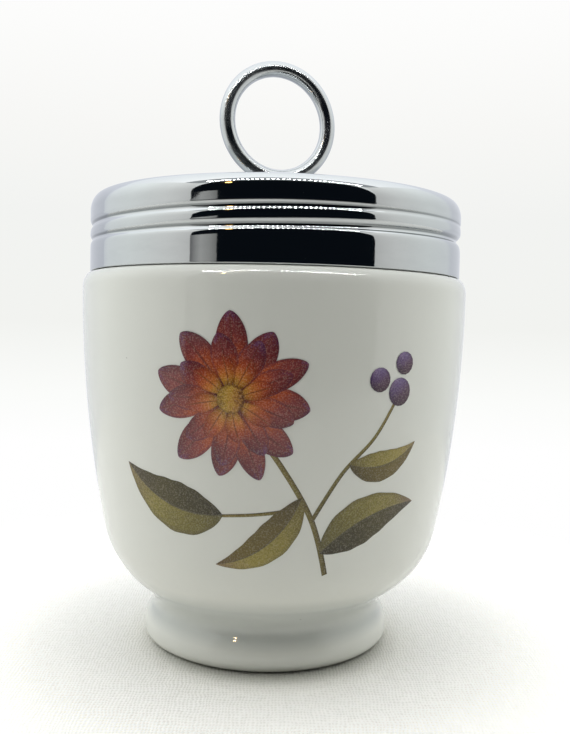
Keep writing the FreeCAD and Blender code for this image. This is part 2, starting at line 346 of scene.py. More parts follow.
@dataclass(frozen=True)
class PrintedEnamel:
    """Ceramic transfer print fired under a clear flux.

    It gives grainy, screened colour that shades from tone to tone in fine dots, a slightly darker drawn
    edge, and the same gloss as the glaze around it. The dots are drawn about 0.2 mm apart, coarser than
    the real screen, so that they show.
    """

    name: str
    along: Stops
    side: Stops = ((0.0, WHITE), (1.0, WHITE))
    edge: str = "#5A4630"
    edge_share: float = 0.5
    edge_start: float = 0.40
    rib: str = "#6B6236"
    rib_width: float = 0.0
    rib_share: float = 0.85
    veins: float = 0.0
    vein_count: float = 9.0
    vein_slant: float = 6.5
    vein_width: float = 0.09
    streak: float = 0.12
    streak_scale: Point3 = (1.6, 13.0, 1.0)
    drift: float = 0.35
    drift_scale: float = 190.0
    grain_mm: float = 0.21
    grain: float = 0.34
    stipple_mm: float = 0.19
    paper: str = "#E6D9C4"
    ink: str = "#33221F"
    # Noise where the dots begin and where they are whole, and their share of the colour.
    paper_dots: Point3 = (0.52, 0.72, 0.12)
    ink_dots: Point3 = (0.48, 0.28, 0.32)
    edge_grain: float = 0.25
    rib_core: float = 0.4
    split: float = 0.0
    split_range: tuple[float, float] = (0.49, 0.51)
    split_tone: str = WHITE
    roughness: float = 0.09

    def swings(self, tree: Tree, place: Socket, uv: Socket) -> list[bpy.types.Node]:
        """Make the uneven parts of the print.

        Args:
            tree: Node tree.
            place: Object coordinates.
            uv: The shape's own coordinates.

        Returns:
            Swings about zero for the grain, the streaks along a shape and the slow drift of tone.
        """
        stretched = add_node(tree, "Mapping", {"Vector": uv, "Scale": self.streak_scale})
        swings = []
        for noise, amount in (
                ({"Vector": place, "Scale": 1.0 / (self.grain_mm * MM), "Detail": 1.0}, self.grain),
                ({"Vector": stretched, "Scale": 1.0, "Detail": 3.0, "Roughness": 0.65}, self.streak * 2.0),
                ({"Vector": place, "Scale": self.drift_scale, "Detail": 2.0}, self.drift)):
            value = add_node(tree, "TexNoise", noise)
            centred = add_node(tree, "Math", {"operation": "SUBTRACT", 0: value, 1: 0.5})
            swings.append(add_node(tree, "Math", {"operation": "MULTIPLY", 0: centred, 1: amount}))
        return swings

    def veined(self, tree: Tree, along: Socket, centred: bpy.types.Node,
               streak: bpy.types.Node) -> bpy.types.Node:
        """Draw the slanting veins of a leaf.

        Args:
            tree: Node tree.
            along: Share of the way along the shape.
            centred: Distance from its middle line.
            streak: Swing that makes the veins waver.

        Returns:
            Share of the rib's colour.
        """
        run = add_node(tree, "Math", {"operation": "MULTIPLY", 0: along, 1: self.vein_count})
        fall = add_node(tree, "Math", {"operation": "MULTIPLY", 0: centred, 1: self.vein_slant})
        slant = add_node(tree, "Math", {"operation": "SUBTRACT", 0: run, 1: fall})
        wobble = add_node(tree, "Math", {"operation": "MULTIPLY_ADD", 0: streak, 1: 2.0, 2: slant})
        wave = add_node(tree, "Math", {"operation": "PINGPONG", 0: wobble, 1: 0.5})
        return add_node(tree, "MapRange", {"Value": wave, "From Min": 0.0, "From Max": self.vein_width,
                                           "To Min": self.veins, "To Max": 0.0})

    def build(self) -> bpy.types.Material:
        """Make the material; u runs along a shape and v across it, from 0 to 1.

        Returns:
            The material.
        """
        material, tree, place = new_tree(self.name)
        uv = add_node(tree, "UVMap", {"uv_map": "print"}).outputs["UV"]
        parts = add_node(tree, "SeparateXYZ", {"Vector": uv})
        along, across = parts.outputs["X"], parts.outputs["Y"]
        grain, streak, drift = self.swings(tree, place, uv)
        first = add_node(tree, "Math", {"operation": "ADD", 0: along, 1: grain})
        second = add_node(tree, "Math", {"operation": "ADD", 0: streak, 1: drift})
        factor = add_node(tree, "Math", {"operation": "ADD", 0: first, 1: second})
        lean = add_node(tree, "Math", {"operation": "ADD", 0: across, 1: grain})
        from_middle = add_node(tree, "Math", {"operation": "SUBTRACT", 0: across, 1: 0.5})
        centred = add_node(tree, "Math", {"operation": "ABSOLUTE", 0: from_middle})
        colour = add_node(tree, "ValToRGB", {"Fac": factor, "stops": self.along}).outputs["Color"]
        shade = add_node(tree, "ValToRGB", {"Fac": lean, "stops": self.side})
        # Each layer of ink: the share of it, its colour and how it mixes.
        layers: list[tuple[object, object, str]] = [(1.0, shade, "MULTIPLY")]
        if self.split:
            low, high = self.split_range
            half = add_node(tree, "MapRange", {"Value": across, "From Min": low, "From Max": high,
                                               "To Min": 0.0, "To Max": self.split})
            layers.append((half, self.split_tone, "MULTIPLY"))
        if self.veins:
            layers.append((self.veined(tree, along, centred, streak), self.rib, "MIX"))
        if self.rib_width:
            rib = add_node(tree, "MapRange", {"Value": centred, "From Max": self.rib_width,
                                              "From Min": self.rib_width * self.rib_core,
                                              "To Min": self.rib_share, "To Max": 0.0})
            layers.append((rib, self.rib, "MIX"))
        specks = add_node(tree, "TexNoise", {"Vector": place, "Scale": 1.0 / (self.stipple_mm * MM),
                                             "Detail": 0.0})
        for (low, high, share), tone in ((self.paper_dots, self.paper), (self.ink_dots, self.ink)):
            dot = add_node(tree, "MapRange", {"Value": specks, "From Min": low, "From Max": high,
                                              "To Min": 0.0, "To Max": share})
            layers.append((dot, tone, "MIX"))
        border = add_node(tree, "Math", {"operation": "MULTIPLY_ADD", 0: grain, 1: self.edge_grain,
                                         2: centred})
        rim = add_node(tree, "MapRange", {"Value": border, "From Min": self.edge_start, "From Max": 0.5,
                                          "To Min": 0.0, "To Max": self.edge_share})
        layers.append((rim, self.edge, "MIX"))
        for share, tone, blend in layers:
            colour = add_node(tree, "Mix", {"data_type": "RGBA", "blend_type": blend, 0: share, 6: colour,
                                            7: tone}).outputs[2]
        shader = add_node(tree, "BsdfPrincipled", {"Base Color": colour, "Roughness": self.roughness,
                                                   "IOR": GLAZE_IOR})
        add_node(tree, "OutputMaterial", {"Surface": shader})
        return material


# Colours of the spray: rust, orange, maroon and violet for the flower, olive for the leaves.
ENAMELS: dict[Motif, PrintedEnamel] = {
    Motif.PETAL: PrintedEnamel(
        "enamel_rust_petal",
        ((0.10, "#5E3324"), (0.27, "#A2502B"), (0.45, "#B85A36"), (0.66, "#8E4440"), (0.86, "#7A3A3E"),
         (1.0, "#6E4468")),
        ((0.0, "#FFF0DC"), (0.45, WHITE), (1.0, "#C9B0B8")), edge="#5B3A48", edge_share=0.55,
        rib="#6A3430", rib_width=0.05, streak=0.20),
    Motif.INNER_PETAL: PrintedEnamel(
        "enamel_orange_petal",
        ((0.05, "#6A4A22"), (0.22, "#B98636"), (0.42, "#C9793A"), (0.70, "#AE5230"), (1.0, "#8A3F38")),
        ((0.0, "#FFF4E2"), (0.5, WHITE), (1.0, "#D2B9A8")), edge="#6A3A2E", rib="#7A4424", rib_width=0.05,
        streak=0.20),
    Motif.LEAF: PrintedEnamel(
        "enamel_olive_leaf",
        ((0.0, "#5C5628"), (0.3, "#756C2C"), (0.6, "#897E34"), (0.85, "#7E703A"), (1.0, "#765E44")),
        edge="#4B4630", edge_share=0.45, rib="#4A4630", rib_width=0.030, veins=0.30,
        split=1.0, split_tone="#8C8A78", streak=0.10),
    Motif.SMALL_LEAF: PrintedEnamel(
        "enamel_ochre_leaf",
        ((0.0, "#6B602A"), (0.35, "#8E8136"), (0.7, "#9C8E40"), (1.0, "#8A7250")),
        edge="#5A5236", edge_share=0.4, rib="#5A5234", rib_width=0.035, veins=0.22,
        split=1.0, split_tone="#B5AC98", streak=0.10),
    Motif.STEM: PrintedEnamel(
        "enamel_green_stem",
        ((0.0, "#6A602E"), (0.5, "#7C7234"), (1.0, "#8A7A40")),
        ((0.0, WHITE), (0.55, "#F0EAD8"), (1.0, "#9C9484")), edge="#4C4430", edge_share=0.6),
    Motif.BERRY: PrintedEnamel(
        "enamel_plum_berry",
        ((0.0, "#8C7AA0"), (0.25, "#6C5688"), (0.6, "#5A3C58"), (1.0, "#4A2E3C")),
        ((0.0, WHITE), (0.5, "#F2E8F0"), (1.0, "#A890A8")), edge="#3E2C44"),
    Motif.EYE: PrintedEnamel(
        "enamel_yellow_eye",
        ((0.0, "#8A6A2C"), (0.35, "#C29A3E"), (0.65, "#B5813A"), (1.0, "#6A4222")),
        edge="#5A3A20", edge_share=0.7, grain=0.9, grain_mm=0.32),
}


# ------------------------------------------------------------------ mesh tools
def deselect_all() -> None:
    """Leave edit mode and select nothing."""
    if bpy.context.object and bpy.context.object.mode != "OBJECT":
        bpy.ops.object.mode_set(mode="OBJECT")
    bpy.ops.object.select_all(action="DESELECT")


def finish_piece(piece: bpy.types.Object, name: str, material: bpy.types.Material,
                 angle_deg: float) -> None:
    """Name a piece, put its place into its mesh, smooth it and give it its material.

    Args:
        piece: Object made by operators.
        name: The piece's name.
        material: Its only material.
        angle_deg: Edges sharper than this stay sharp.
    """
    deselect_all()
    piece.select_set(True)
    bpy.context.view_layer.objects.active = piece
    bpy.ops.object.transform_apply(location=True, rotation=True, scale=True)
    piece.name = name
    piece.data.name = name
    piece.data.materials.clear()
    piece.data.materials.append(material)
    bpy.ops.object.shade_smooth_by_angle(angle=math.radians(angle_deg))
    deselect_all()


class Outline:
    """Profile in the XZ plane, as radius and height in millimetres."""

    def __init__(self) -> None:
        """Start with no points."""
        self.points: list[Point2] = []

    def to(self, radius: float, level: float, step: float | None = None) -> "Outline":
        """Go straight to a point.

        Args:
            radius: Radius of the point.
            level: Height of the point.
            step: Longest step of the way, if it isn't one step.

        Returns:
            The profile itself.
        """
        if step and self.points:
            last = self.points[-1]
            count = max(1, math.ceil(math.dist(last, (radius, level)) / step))
            for index in range(1, count):
                share = index / count
                self.points.append((last[0] + (radius - last[0]) * share,
                                    last[1] + (level - last[1]) * share))
        if not self.points or math.dist(self.points[-1], (radius, level)) > 1e-6:
            self.points.append((radius, level))
        return self

    def arc(self, centre: Point2, radius: float, start_deg: float, end_deg: float,
            step: float) -> "Outline":
        """Follow an arc.

        Args:
            centre: Its centre.
            radius: Its radius.
            start_deg: Angle at which it starts, up from the radius's direction.
            end_deg: Angle at which it ends.
            step: Longest chord.

        Returns:
            The profile itself.
        """
        length = abs(math.radians(end_deg - start_deg)) * radius
        count = max(2, math.ceil(length / step))
        for index in range(count + 1):
            angle = math.radians(start_deg + (end_deg - start_deg) * index / count)
            self.to(centre[0] + radius * math.cos(angle), centre[1] + radius * math.sin(angle))
        return self


def spin_closed(steps: int, level: float, axis: Point3) -> None:
    """Spin the profile in edit mode through a whole turn, weld its seam and leave edit mode.

    Args:
        steps: Faces round the axis.
        level: Level of the point of the Z axis that the axis goes through.
        axis: Direction of the axis.
    """
    bpy.ops.mesh.select_all(action="SELECT")
    bpy.ops.mesh.spin(steps=steps, dupli=False, angle=math.tau, center=(0.0, 0.0, level * MM), axis=axis)
    bpy.ops.mesh.select_all(action="SELECT")
    bpy.ops.mesh.remove_doubles(threshold=WELD_MM * MM)
    bpy.ops.mesh.normals_make_consistent(inside=False)
    bpy.ops.object.mode_set(mode="OBJECT")


def turn_outline(points: Sequence[Point2], segments: int) -> bpy.types.Object:
    """Draw a profile by extruding one vertex from point to point, and turn it about Z.

    Args:
        points: Radius and height of each point in millimetres; a closed loop, or open with both ends on
            the axis.
        segments: Faces round the axis.

    Returns:
        The object, in object mode.
    """
    deselect_all()
    bpy.ops.mesh.primitive_plane_add(size=1.0 * MM, location=(points[0][0] * MM, 0.0, points[0][1] * MM))
    bpy.ops.object.mode_set(mode="EDIT")
    bpy.ops.mesh.merge(type="CENTER")
    for start, end in zip(points, points[1:]):
        shift = ((end[0] - start[0]) * MM, 0.0, (end[1] - start[1]) * MM)
        bpy.ops.mesh.extrude_region_move(TRANSFORM_OT_translate={"value": shift})
    piece = bpy.context.object
    spin_closed(segments, 0.0, (0.0, 0.0, 1.0))
    bpy.ops.object.transform_apply(location=True, rotation=True, scale=True)
    return piece


def read_places(piece: bpy.types.Object) -> tuple[np.ndarray, np.ndarray, np.ndarray]:
    """Read the vertex places of a piece.

    Args:
        piece: The piece.

    Returns:
        The places in millimetres, their radius and their angle in degrees about Z.
    """
    places = np.empty(len(piece.data.vertices) * 3)
    piece.data.vertices.foreach_get("co", places)
    places = places.reshape(-1, 3) / MM
    x, y = places[:, 0], places[:, 1]
    return places, np.hypot(x, y), np.degrees(np.arctan2(y, x))


def write_places(piece: bpy.types.Object, places: np.ndarray) -> None:
    """Set the vertex places of a piece from millimetres."""
    piece.data.vertices.foreach_set("co", (places * MM).ravel())
    piece.data.update()


def scale_radius(places: np.ndarray, radius: np.ndarray, wanted: np.ndarray) -> None:
    """Move places straight away from or towards the axis, to the radius that is wanted."""
    places[:, :2] *= (wanted / np.maximum(radius, 1e-9))[:, None]


def smooth_step(share: np.ndarray | float) -> np.ndarray:
    """0 to 1 with level ends."""
    share = np.clip(share, 0.0, 1.0)
    return share * share * (3.0 - 2.0 * share)


def lean_rows(angle_deg: np.ndarray, level: np.ndarray, pitch: float, marks: Sequence[float]) -> np.ndarray:
    """Levels of level rows after they are leant to run along a screw thread.

    The rows climb half a pitch from -180 to 0 degrees, along the thread, and come back down behind.

    Args:
        angle_deg: Angle about Z of each vertex.
        level: Level of each vertex.
        pitch: Pitch of the thread.
        marks: Levels where the lean begins, is whole, begins to lessen and ends.

    Returns:
        The new level of each vertex.
    """
    rise = np.where(angle_deg < 0.0, angle_deg + 180.0, 180.0 - angle_deg) * pitch / 360.0
    return level + rise * np.interp(level, marks, (0.0, 1.0, 1.0, 0.0))


# ------------------------------------------------------------------ cup
@dataclass
class Cup:
    """Porcelain cup: foot, bowl, shoulder, and neck with its moulded thread. Sizes in millimetres."""

    belly_radius: float = 33.15
    shoulder_height: float = 62.25
    shoulder_round: float = 2.5
    shoulder_reach: float = 1.5
    side_bulge_radius: float = 205.0
    lower_corner_radius: float = 15.1
    underside_height: float = 7.2
    waist_radius: float = 16.9
    waist_soften: Point2 = (6.3, 4.0)
    foot_radius: float = 21.5
    foot_edge_round: float = 1.5
    foot_inner_round: float = 1.3
    foot_ring_width: float = 4.2
    foot_recess_depth: float = 4.0
    foot_shift: Point2 = (-0.5, -0.7)
    foot_top: Point2 = (8.0, 14.0)
    neck_radius: float = 30.5
    neck_wall: float = 3.2
    lip_level: float = 74.2
    lip_round: float = 1.3
    well_corner_radius: float = 14.0
    well_floor_radius: float = 14.0
    base_thickness: float = 5.2
    thread_height: float = 0.6
    thread_crest: float = 0.4
    thread_root: float = 1.2
    thread_level: float = 68.75
    thread_pitch: float = 2.5
    thread_start_deg: float = -180.0
    thread_end_deg: float = 360.0
    thread_fade_deg: float = 45.0
    row_marks: tuple[float, ...] = (62.6, 66.5, 71.4, 72.9)
    segments: int = 256
    side: list[Point2] = field(default_factory=list)

    def bowl_side(self) -> Outline:
        """Draw the outside.

        Returns:
            Outer profile from the shoulder's top to the foot's standing face.
        """
        start = self.shoulder_height - self.shoulder_round
        side_centre = (self.belly_radius - self.side_bulge_radius, start)
        corner_level = self.underside_height + self.lower_corner_radius
        reach = self.side_bulge_radius - self.lower_corner_radius
        drop = start - corner_level
        corner_centre = (side_centre[0] + math.sqrt(reach ** 2 - drop ** 2), corner_level)
        turn = -math.degrees(math.asin(drop / reach))
        waist = -math.degrees(math.acos((self.waist_radius - corner_centre[0]) / self.lower_corner_radius))
        waist_level = corner_level + self.lower_corner_radius * math.sin(math.radians(waist))
        rise = waist_level - self.foot_edge_round
        flare = self.foot_radius - self.waist_radius
        flare_radius = (rise ** 2 + flare ** 2) / (2.0 * flare)
        flare_deg = math.degrees(math.asin(rise / flare_radius))
        edge = self.foot_edge_round
        outline = Outline()
        for index in range(15):
            angle = math.radians(90.0 - 6.0 * index)
            outline.to(self.belly_radius + self.shoulder_reach * (math.cos(angle) - 1.0),
                       start + self.shoulder_round * math.sin(angle))
        outline.arc(side_centre, self.side_bulge_radius, 0, turn, 0.9)
        outline.arc(corner_centre, self.lower_corner_radius, turn, waist, 0.5)
        outline.arc((self.foot_radius - flare_radius, edge), flare_radius, flare_deg, 0, 0.3)
        outline.arc((self.foot_radius - edge, edge), edge, 0, -90, 0.18)
        outline.points = self.soften(outline.points, (self.waist_radius, waist_level))
        return outline

    def soften(self, points: list[Point2], corner: Point2) -> list[Point2]:
        """Round the waist's inner corner with a curve.

        Args:
            points: Profile.
            corner: The sharp point to be rounded.

        Returns:
            The profile with a curve in place of the corner.
        """
        gaps = [math.dist(p, corner) for p in points]
        middle = gaps.index(min(gaps))
        above, below = self.waist_soften
        first = next(i for i in range(middle, 0, -1) if gaps[i] > above)
        last = next(i for i in range(middle, len(points)) if gaps[i] > below)
        start, end = np.array(points[first]), np.array(points[last])
        into, out = start - np.array(points[first - 1]), np.array(points[last + 1]) - end
        reach = np.linalg.solve(np.column_stack([into, out]), end - start)
        control = start + into * reach[0]
        curve = []
        for index in range(1, 16):
            t = index / 16.0
            curve.append(tuple((1 - t) ** 2 * start + 2 * t * (1 - t) * control + t * t * end))
        return points[:first + 1] + curve + points[last:]

    def outline(self) -> list[Point2]:
        """Draw the whole profile.

        Returns:
            Its points, from the middle of the well over the lip and down to the middle of the recess.
        """
        well = self.neck_radius - self.neck_wall
        floor = self.foot_recess_depth + self.base_thickness
        recess = self.foot_radius - self.foot_inner_round - self.foot_ring_width
        small = self.foot_inner_round
        lip = self.lip_round
        corner = self.well_corner_radius
        body = Outline()
        body.to(0.0, floor).to(well - corner, floor, 1.6)
        body.arc((well - corner, floor + corner), corner, -90, 0, 0.9)
        body.to(well, self.lip_level - lip, 2.0)
        body.arc((well + lip, self.lip_level - lip), lip, 180, 90, 0.2)
        body.arc((self.neck_radius - lip, self.lip_level - lip), lip, 90, 0, 0.2)
        body.to(self.neck_radius, self.shoulder_height, 0.12)
        self.side = self.bowl_side().points
        body.to(*self.side[0])
        body.points += self.side[1:]
        body.arc((recess + small, small), small, -90, -180, 0.2)
        body.arc((recess - small, self.foot_recess_depth - small), small, 0, 90, 0.2)
        body.to(0.0, self.foot_recess_depth, 1.8)
        return body.points

    def radius_at(self, level: float) -> float:
        """Outer radius of the bowl at a level, in millimetres."""
        radii, levels = zip(*self.side[::-1])
        return float(np.interp(level, levels, radii))

    def thread_ridge(self, angle_deg: np.ndarray, level: np.ndarray) -> np.ndarray:
        """Height of the moulded ridge over the neck.

        Args:
            angle_deg: Angle about Z of each vertex.
            level: Level of each vertex.

        Returns:
            Outward move of each vertex.
        """
        ridge = np.zeros_like(level)
        slope = (self.thread_root - self.thread_crest) / 2.0
        for lap in LAPS_DEG:
            along = angle_deg + lap
            from_end = np.minimum(along - self.thread_start_deg, self.thread_end_deg - along)
            fade = smooth_step(from_end / self.thread_fade_deg)
            middle = self.thread_level + self.thread_pitch * (along - self.thread_start_deg) / 360.0
            away = (np.abs(level - middle) - self.thread_crest / 2.0) / slope
            ridge = np.maximum(ridge, self.thread_height * fade * smooth_step(1.0 - away))
        return ridge

    def build(self, glaze: bpy.types.Material) -> bpy.types.Object:
        """Make the cup, riding on its body in place of the CAD node.

        Args:
            glaze: The porcelain's material.

        Returns:
            The piece.
        """
        piece = turn_outline(self.outline(), self.segments)
        places, radius, angle = read_places(piece)
        on_neck = np.abs(radius - self.neck_radius) < ON_WALL_MM
        on_neck &= places[:, 2] > self.shoulder_height + 0.1
        leant = lean_rows(angle, places[:, 2], self.thread_pitch, self.row_marks)
        places[:, 2] = np.where(on_neck, leant, places[:, 2])
        ridge = np.where(on_neck, self.thread_ridge(angle, places[:, 2]), 0.0)
        scale_radius(places, radius, radius + ridge)
        # The foot was luted on a little to one side, as on many small pressed cups.
        start, end = self.foot_top
        outside = (radius > self.well_floor_radius) | (places[:, 2] < self.foot_recess_depth + 0.1)
        low = np.where(outside, 1.0 - smooth_step((places[:, 2] - start) / (end - start)), 0.0)
        places[:, :2] += np.outer(low, self.foot_shift)
        write_places(piece, places)
        finish_piece(piece, "porcelain_cup", glaze, 50.0)
        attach(piece, "cup")
        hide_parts("cup")
        return piece


# ------------------------------------------------------------------ lid
@dataclass
class ScrewLid:
    """Pressed screw cap with its rolled thread. Sizes in millimetres."""

    radius: float = 32.0
    wall: float = 0.6
    rim_level: float = 62.34
    rim_edge_round: float = 0.22
    side_top: float = 73.5
    corner_round: float = 1.6
    corner_drop: float = 2.7
    dome_radius: float = 144.0
    seat_radius: float = 5.0
    hole_radius: float = 2.06
    hole_bevel: float = 0.15
    groove_level: float = 67.5
    # Angle along the thread and depth of the groove there: rolled lightly at first, deepest at the right.
    groove_depths: tuple[Point2, ...] = (
        (-270, 0.0), (-225, 0.14), (-180, 0.30), (-90, 0.42), (-50, 0.64), (-13, 0.74), (90, 0.50),
        (180, 0.42), (270, 0.32), (325, 0.16), (350, 0.10), (385, 0.0))
    # Angle along the thread and how far the groove strays from its true level there.
    groove_strays: tuple[Point2, ...] = (
        (-360, 0.0), (-205, 0.12), (-180, 0.10), (-131, -0.34), (-90, -0.29), (-42, -0.06), (-20, 0.0),
        (90, 0.0), (180, -0.16), (229, -0.24), (270, -0.04))
    # Height from the groove's middle and slope of the wall there, for a groove 1 mm deep.
    groove_slopes: tuple[Point2, ...] = (
        (-1.9, 0.0), (-1.15, -0.28), (-0.74, -1.0), (-0.43, -2.6), (-0.20, -1.15), (0.05, 0.0), (0.18, 0.9),
        (0.27, 2.3), (0.36, 2.0), (0.60, 1.15), (0.86, 0.45), (0.95, 0.0))
    groove_middle: float = 0.05
    # Width of the groove over that of one 1 mm deep: for no depth, its gain with depth, and its limits.
    shallow_width: float = 0.55
    width_gain: float = 1.05
    width_limits: Point2 = (0.6, 1.3)
    # Heights in the groove between which its painted shade comes in and goes out, and the least depth for
    # all of it.
    groove_shade_comes: Point2 = (-0.06, 0.06)
    groove_shade_goes: Point2 = (0.26, 0.56)
    groove_shade_depth: float = 0.22
    ridge_half_width: float = 0.95
    thread_pitch: float = 2.5
    thread_start_deg: float = -180.0
    row_marks: tuple[float, ...] = (63.0, 66.0, 70.0, 72.0)
    fine_rows: Point2 = (66.2, 71.0)
    segments: int = 360

    def dome_centre(self) -> float:
        """Level of the dome's centre."""
        return self.side_top - math.sqrt((self.dome_radius - self.corner_round) ** 2
                                         - (self.radius - self.corner_round) ** 2)

    def outer_cap(self) -> Outline:
        """Draw the cap's outside.

        Returns:
            Outer profile from the top of the side, round the oval corner and over the dome to the seat.
        """
        centre = self.dome_centre()
        edge = self.radius - self.corner_round
        slope = math.asin(edge / self.dome_radius)
        end = math.atan(self.corner_drop / self.corner_round / math.tan(slope))
        meet = edge + self.corner_round * math.cos(end)
        foot = centre + math.sqrt(self.dome_radius ** 2 - meet ** 2) - self.corner_drop * math.sin(end)
        outline = Outline()
        for index in range(37):
            angle = end * index / 36.0
            outline.to(edge + self.corner_round * math.cos(angle),
                       foot + self.corner_drop * math.sin(angle))
        turn = math.degrees(math.acos(meet / self.dome_radius))
        crown = math.degrees(math.acos(self.seat_radius / self.dome_radius))
        outline.arc((0.0, centre), self.dome_radius, turn, crown, 1.0)
        return outline

    def inner_cap(self) -> Outline:
        """Draw the cap's inside.

        Returns:
            Inner profile from the top of the bore, round the corner and under the dome to the seat.
        """
        centre = self.dome_centre()
        corner = self.corner_round - self.wall
        reach = self.dome_radius - self.corner_round
        run = self.radius - self.corner_round
        turn = math.degrees(math.acos(run / reach))
        crown = math.degrees(math.acos(self.seat_radius / (self.dome_radius - self.wall)))
        outline = Outline()
        outline.arc((run, centre + math.sqrt(reach ** 2 - run ** 2)), corner, 0, turn, 0.3)
        outline.arc((0.0, centre), self.dome_radius - self.wall, turn, crown, 2.0)
        return outline

    def outline(self) -> list[Point2]:
        """Draw the whole profile.

        Returns:
            Its points, closed: up the outside, through the stud hole and back inside to the rim.
        """
        centre = self.dome_centre()
        inner = self.radius - self.wall
        soft = self.rim_edge_round
        seat = centre + math.sqrt(self.dome_radius ** 2 - self.seat_radius ** 2)
        under = centre + math.sqrt((self.dome_radius - self.wall) ** 2 - self.seat_radius ** 2)
        body = Outline()
        body.arc((self.radius - soft, self.rim_level + soft), soft, -90, 0, 0.06)
        body.to(self.radius, self.fine_rows[0], 0.3)
        for level in (self.groove_level, self.groove_level + self.thread_pitch, self.fine_rows[1]):
            body.to(self.radius, level, 0.08)
        outside = self.outer_cap().points
        body.to(*outside[0], 0.12)
        body.points += outside[1:]
        body.to(self.hole_radius + self.hole_bevel, seat, 0.8)
        body.to(self.hole_radius, seat - self.hole_bevel)
        body.to(self.hole_radius, under)
        inside = self.inner_cap().points[::-1]
        body.to(*inside[0], 1.0)
        body.points += inside[1:]
        body.to(inner, self.rim_level + soft, 0.2)
        body.arc((inner + soft, self.rim_level + soft), soft, 180, 270, 0.06)
        body.to(*body.points[0])
        return body.points

    def laps(self, angle_deg: np.ndarray, level: np.ndarray) -> Iterator[tuple[np.ndarray, np.ndarray]]:
        """Follow the thread's laps.

        Args:
            angle_deg: Angle about Z of each vertex.
            level: Level of each vertex.

        Yields:
            Height of each vertex over the groove's middle, and the groove's depth there.
        """
        angles, depths = zip(*self.groove_depths)
        for lap in LAPS_DEG:
            along = angle_deg + lap
            away = level - self.groove_level - self.thread_pitch * (along - self.thread_start_deg) / 360.0
            yield away, np.interp(along, angles, depths)

    def groove(self, angle_deg: np.ndarray, level: np.ndarray) -> tuple[np.ndarray, np.ndarray]:
        """Rolled groove, with a flat upper flank, a narrow floor and a rounded lower lip.

        Args:
            angle_deg: Angle about Z of each vertex.
            level: Level of each vertex.

        Returns:
            Inward move of each vertex, and the share of painted shade, a darker chrome, in the groove's
            valley.
        """
        heights, slopes = zip(*self.groove_slopes)
        fine = np.linspace(heights[0], heights[-1], 400)
        steep = np.interp(fine, heights, slopes)
        lower = np.cumsum(np.where(steep < 0.0, -steep, 0.0))
        upper = np.cumsum(np.where(steep > 0.0, steep, 0.0)[::-1])[::-1]
        shape = np.where(fine < self.groove_middle, lower / lower[-1], upper / upper[0])
        cut, groove_shade = np.zeros_like(level), np.zeros_like(level)
        for away, depth in self.laps(angle_deg, level):
            away = away / np.clip(self.shallow_width + self.width_gain * depth, *self.width_limits)
            cut = np.maximum(cut, depth * np.interp(away, fine, shape, 0.0, 0.0))
            comes, goes = (smooth_step((away - start) / (end - start))
                           for start, end in (self.groove_shade_comes, self.groove_shade_goes))
            groove_shade = np.maximum(groove_shade, comes * (1.0 - goes) * np.clip(depth / self.groove_shade_depth, 0.0, 1.0))
        return cut, groove_shade

    def stray(self, angle_deg: np.ndarray, level: np.ndarray) -> np.ndarray:
        """How far the rolled thread strays up or down, eased from one lap to the next.

        Args:
            angle_deg: Angle about Z of each vertex.
            level: Level of each vertex.

        Returns:
            Upward move of each vertex.
        """
        angles, moves = zip(*self.groove_strays)
        laps = (level - self.groove_level) / self.thread_pitch - (angle_deg - self.thread_start_deg) / 360.0
        below = np.floor(laps)
        low = np.interp(angle_deg + 360.0 * below, angles, moves)
        high = np.interp(angle_deg + 360.0 * (below + 1.0), angles, moves)
        return low + (high - low) * (laps - below)

    def ridge(self, angle_deg: np.ndarray, level: np.ndarray) -> np.ndarray:
        """Height of the rolled ridge inside.

        Args:
            angle_deg: Angle about Z of each vertex.
            level: Level of each vertex.

        Returns:
            Inward move of each vertex.
        """
        rise = np.zeros_like(level)
        for away, depth in self.laps(angle_deg, level):
            rise = np.maximum(rise, depth * smooth_step(1.0 - np.abs(away) / self.ridge_half_width))
        return rise

    def build(self, chrome: bpy.types.Material) -> bpy.types.Object:
        """Make the lid, riding on its body in place of the CAD node.

        Args:
            chrome: The lid's material.

        Returns:
            The piece.
        """
        piece = turn_outline(self.outline(), self.segments)
        places, radius, angle = read_places(piece)
        outer = np.abs(radius - self.radius) < ON_WALL_MM
        inner = np.abs(radius - self.radius + self.wall) < ON_WALL_MM
        leant = lean_rows(angle, places[:, 2], self.thread_pitch, self.row_marks)
        places[:, 2] = np.where(outer | inner, leant, places[:, 2])
        cut, groove_shade = self.groove(angle, places[:, 2])
        cut = np.where(outer, cut, 0.0) + np.where(inner, self.ridge(angle, places[:, 2]), 0.0)
        groove_shade = np.where(outer, groove_shade, 0.0).astype(np.float32)
        scale_radius(places, radius, radius - cut)
        places[:, 2] += np.where(outer | inner, self.stray(angle, places[:, 2]), 0.0)
        write_places(piece, places)
        # Painted shade: the groove's share of darker chrome goes to the material as the valley attribute.
        piece.data.attributes.new("valley", "FLOAT", "POINT").data.foreach_set("value", groove_shade)
        finish_piece(piece, "chromed_screw_lid", chrome, 75.0)
        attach(piece, "lid")
        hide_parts("lid_shell")
        return piece


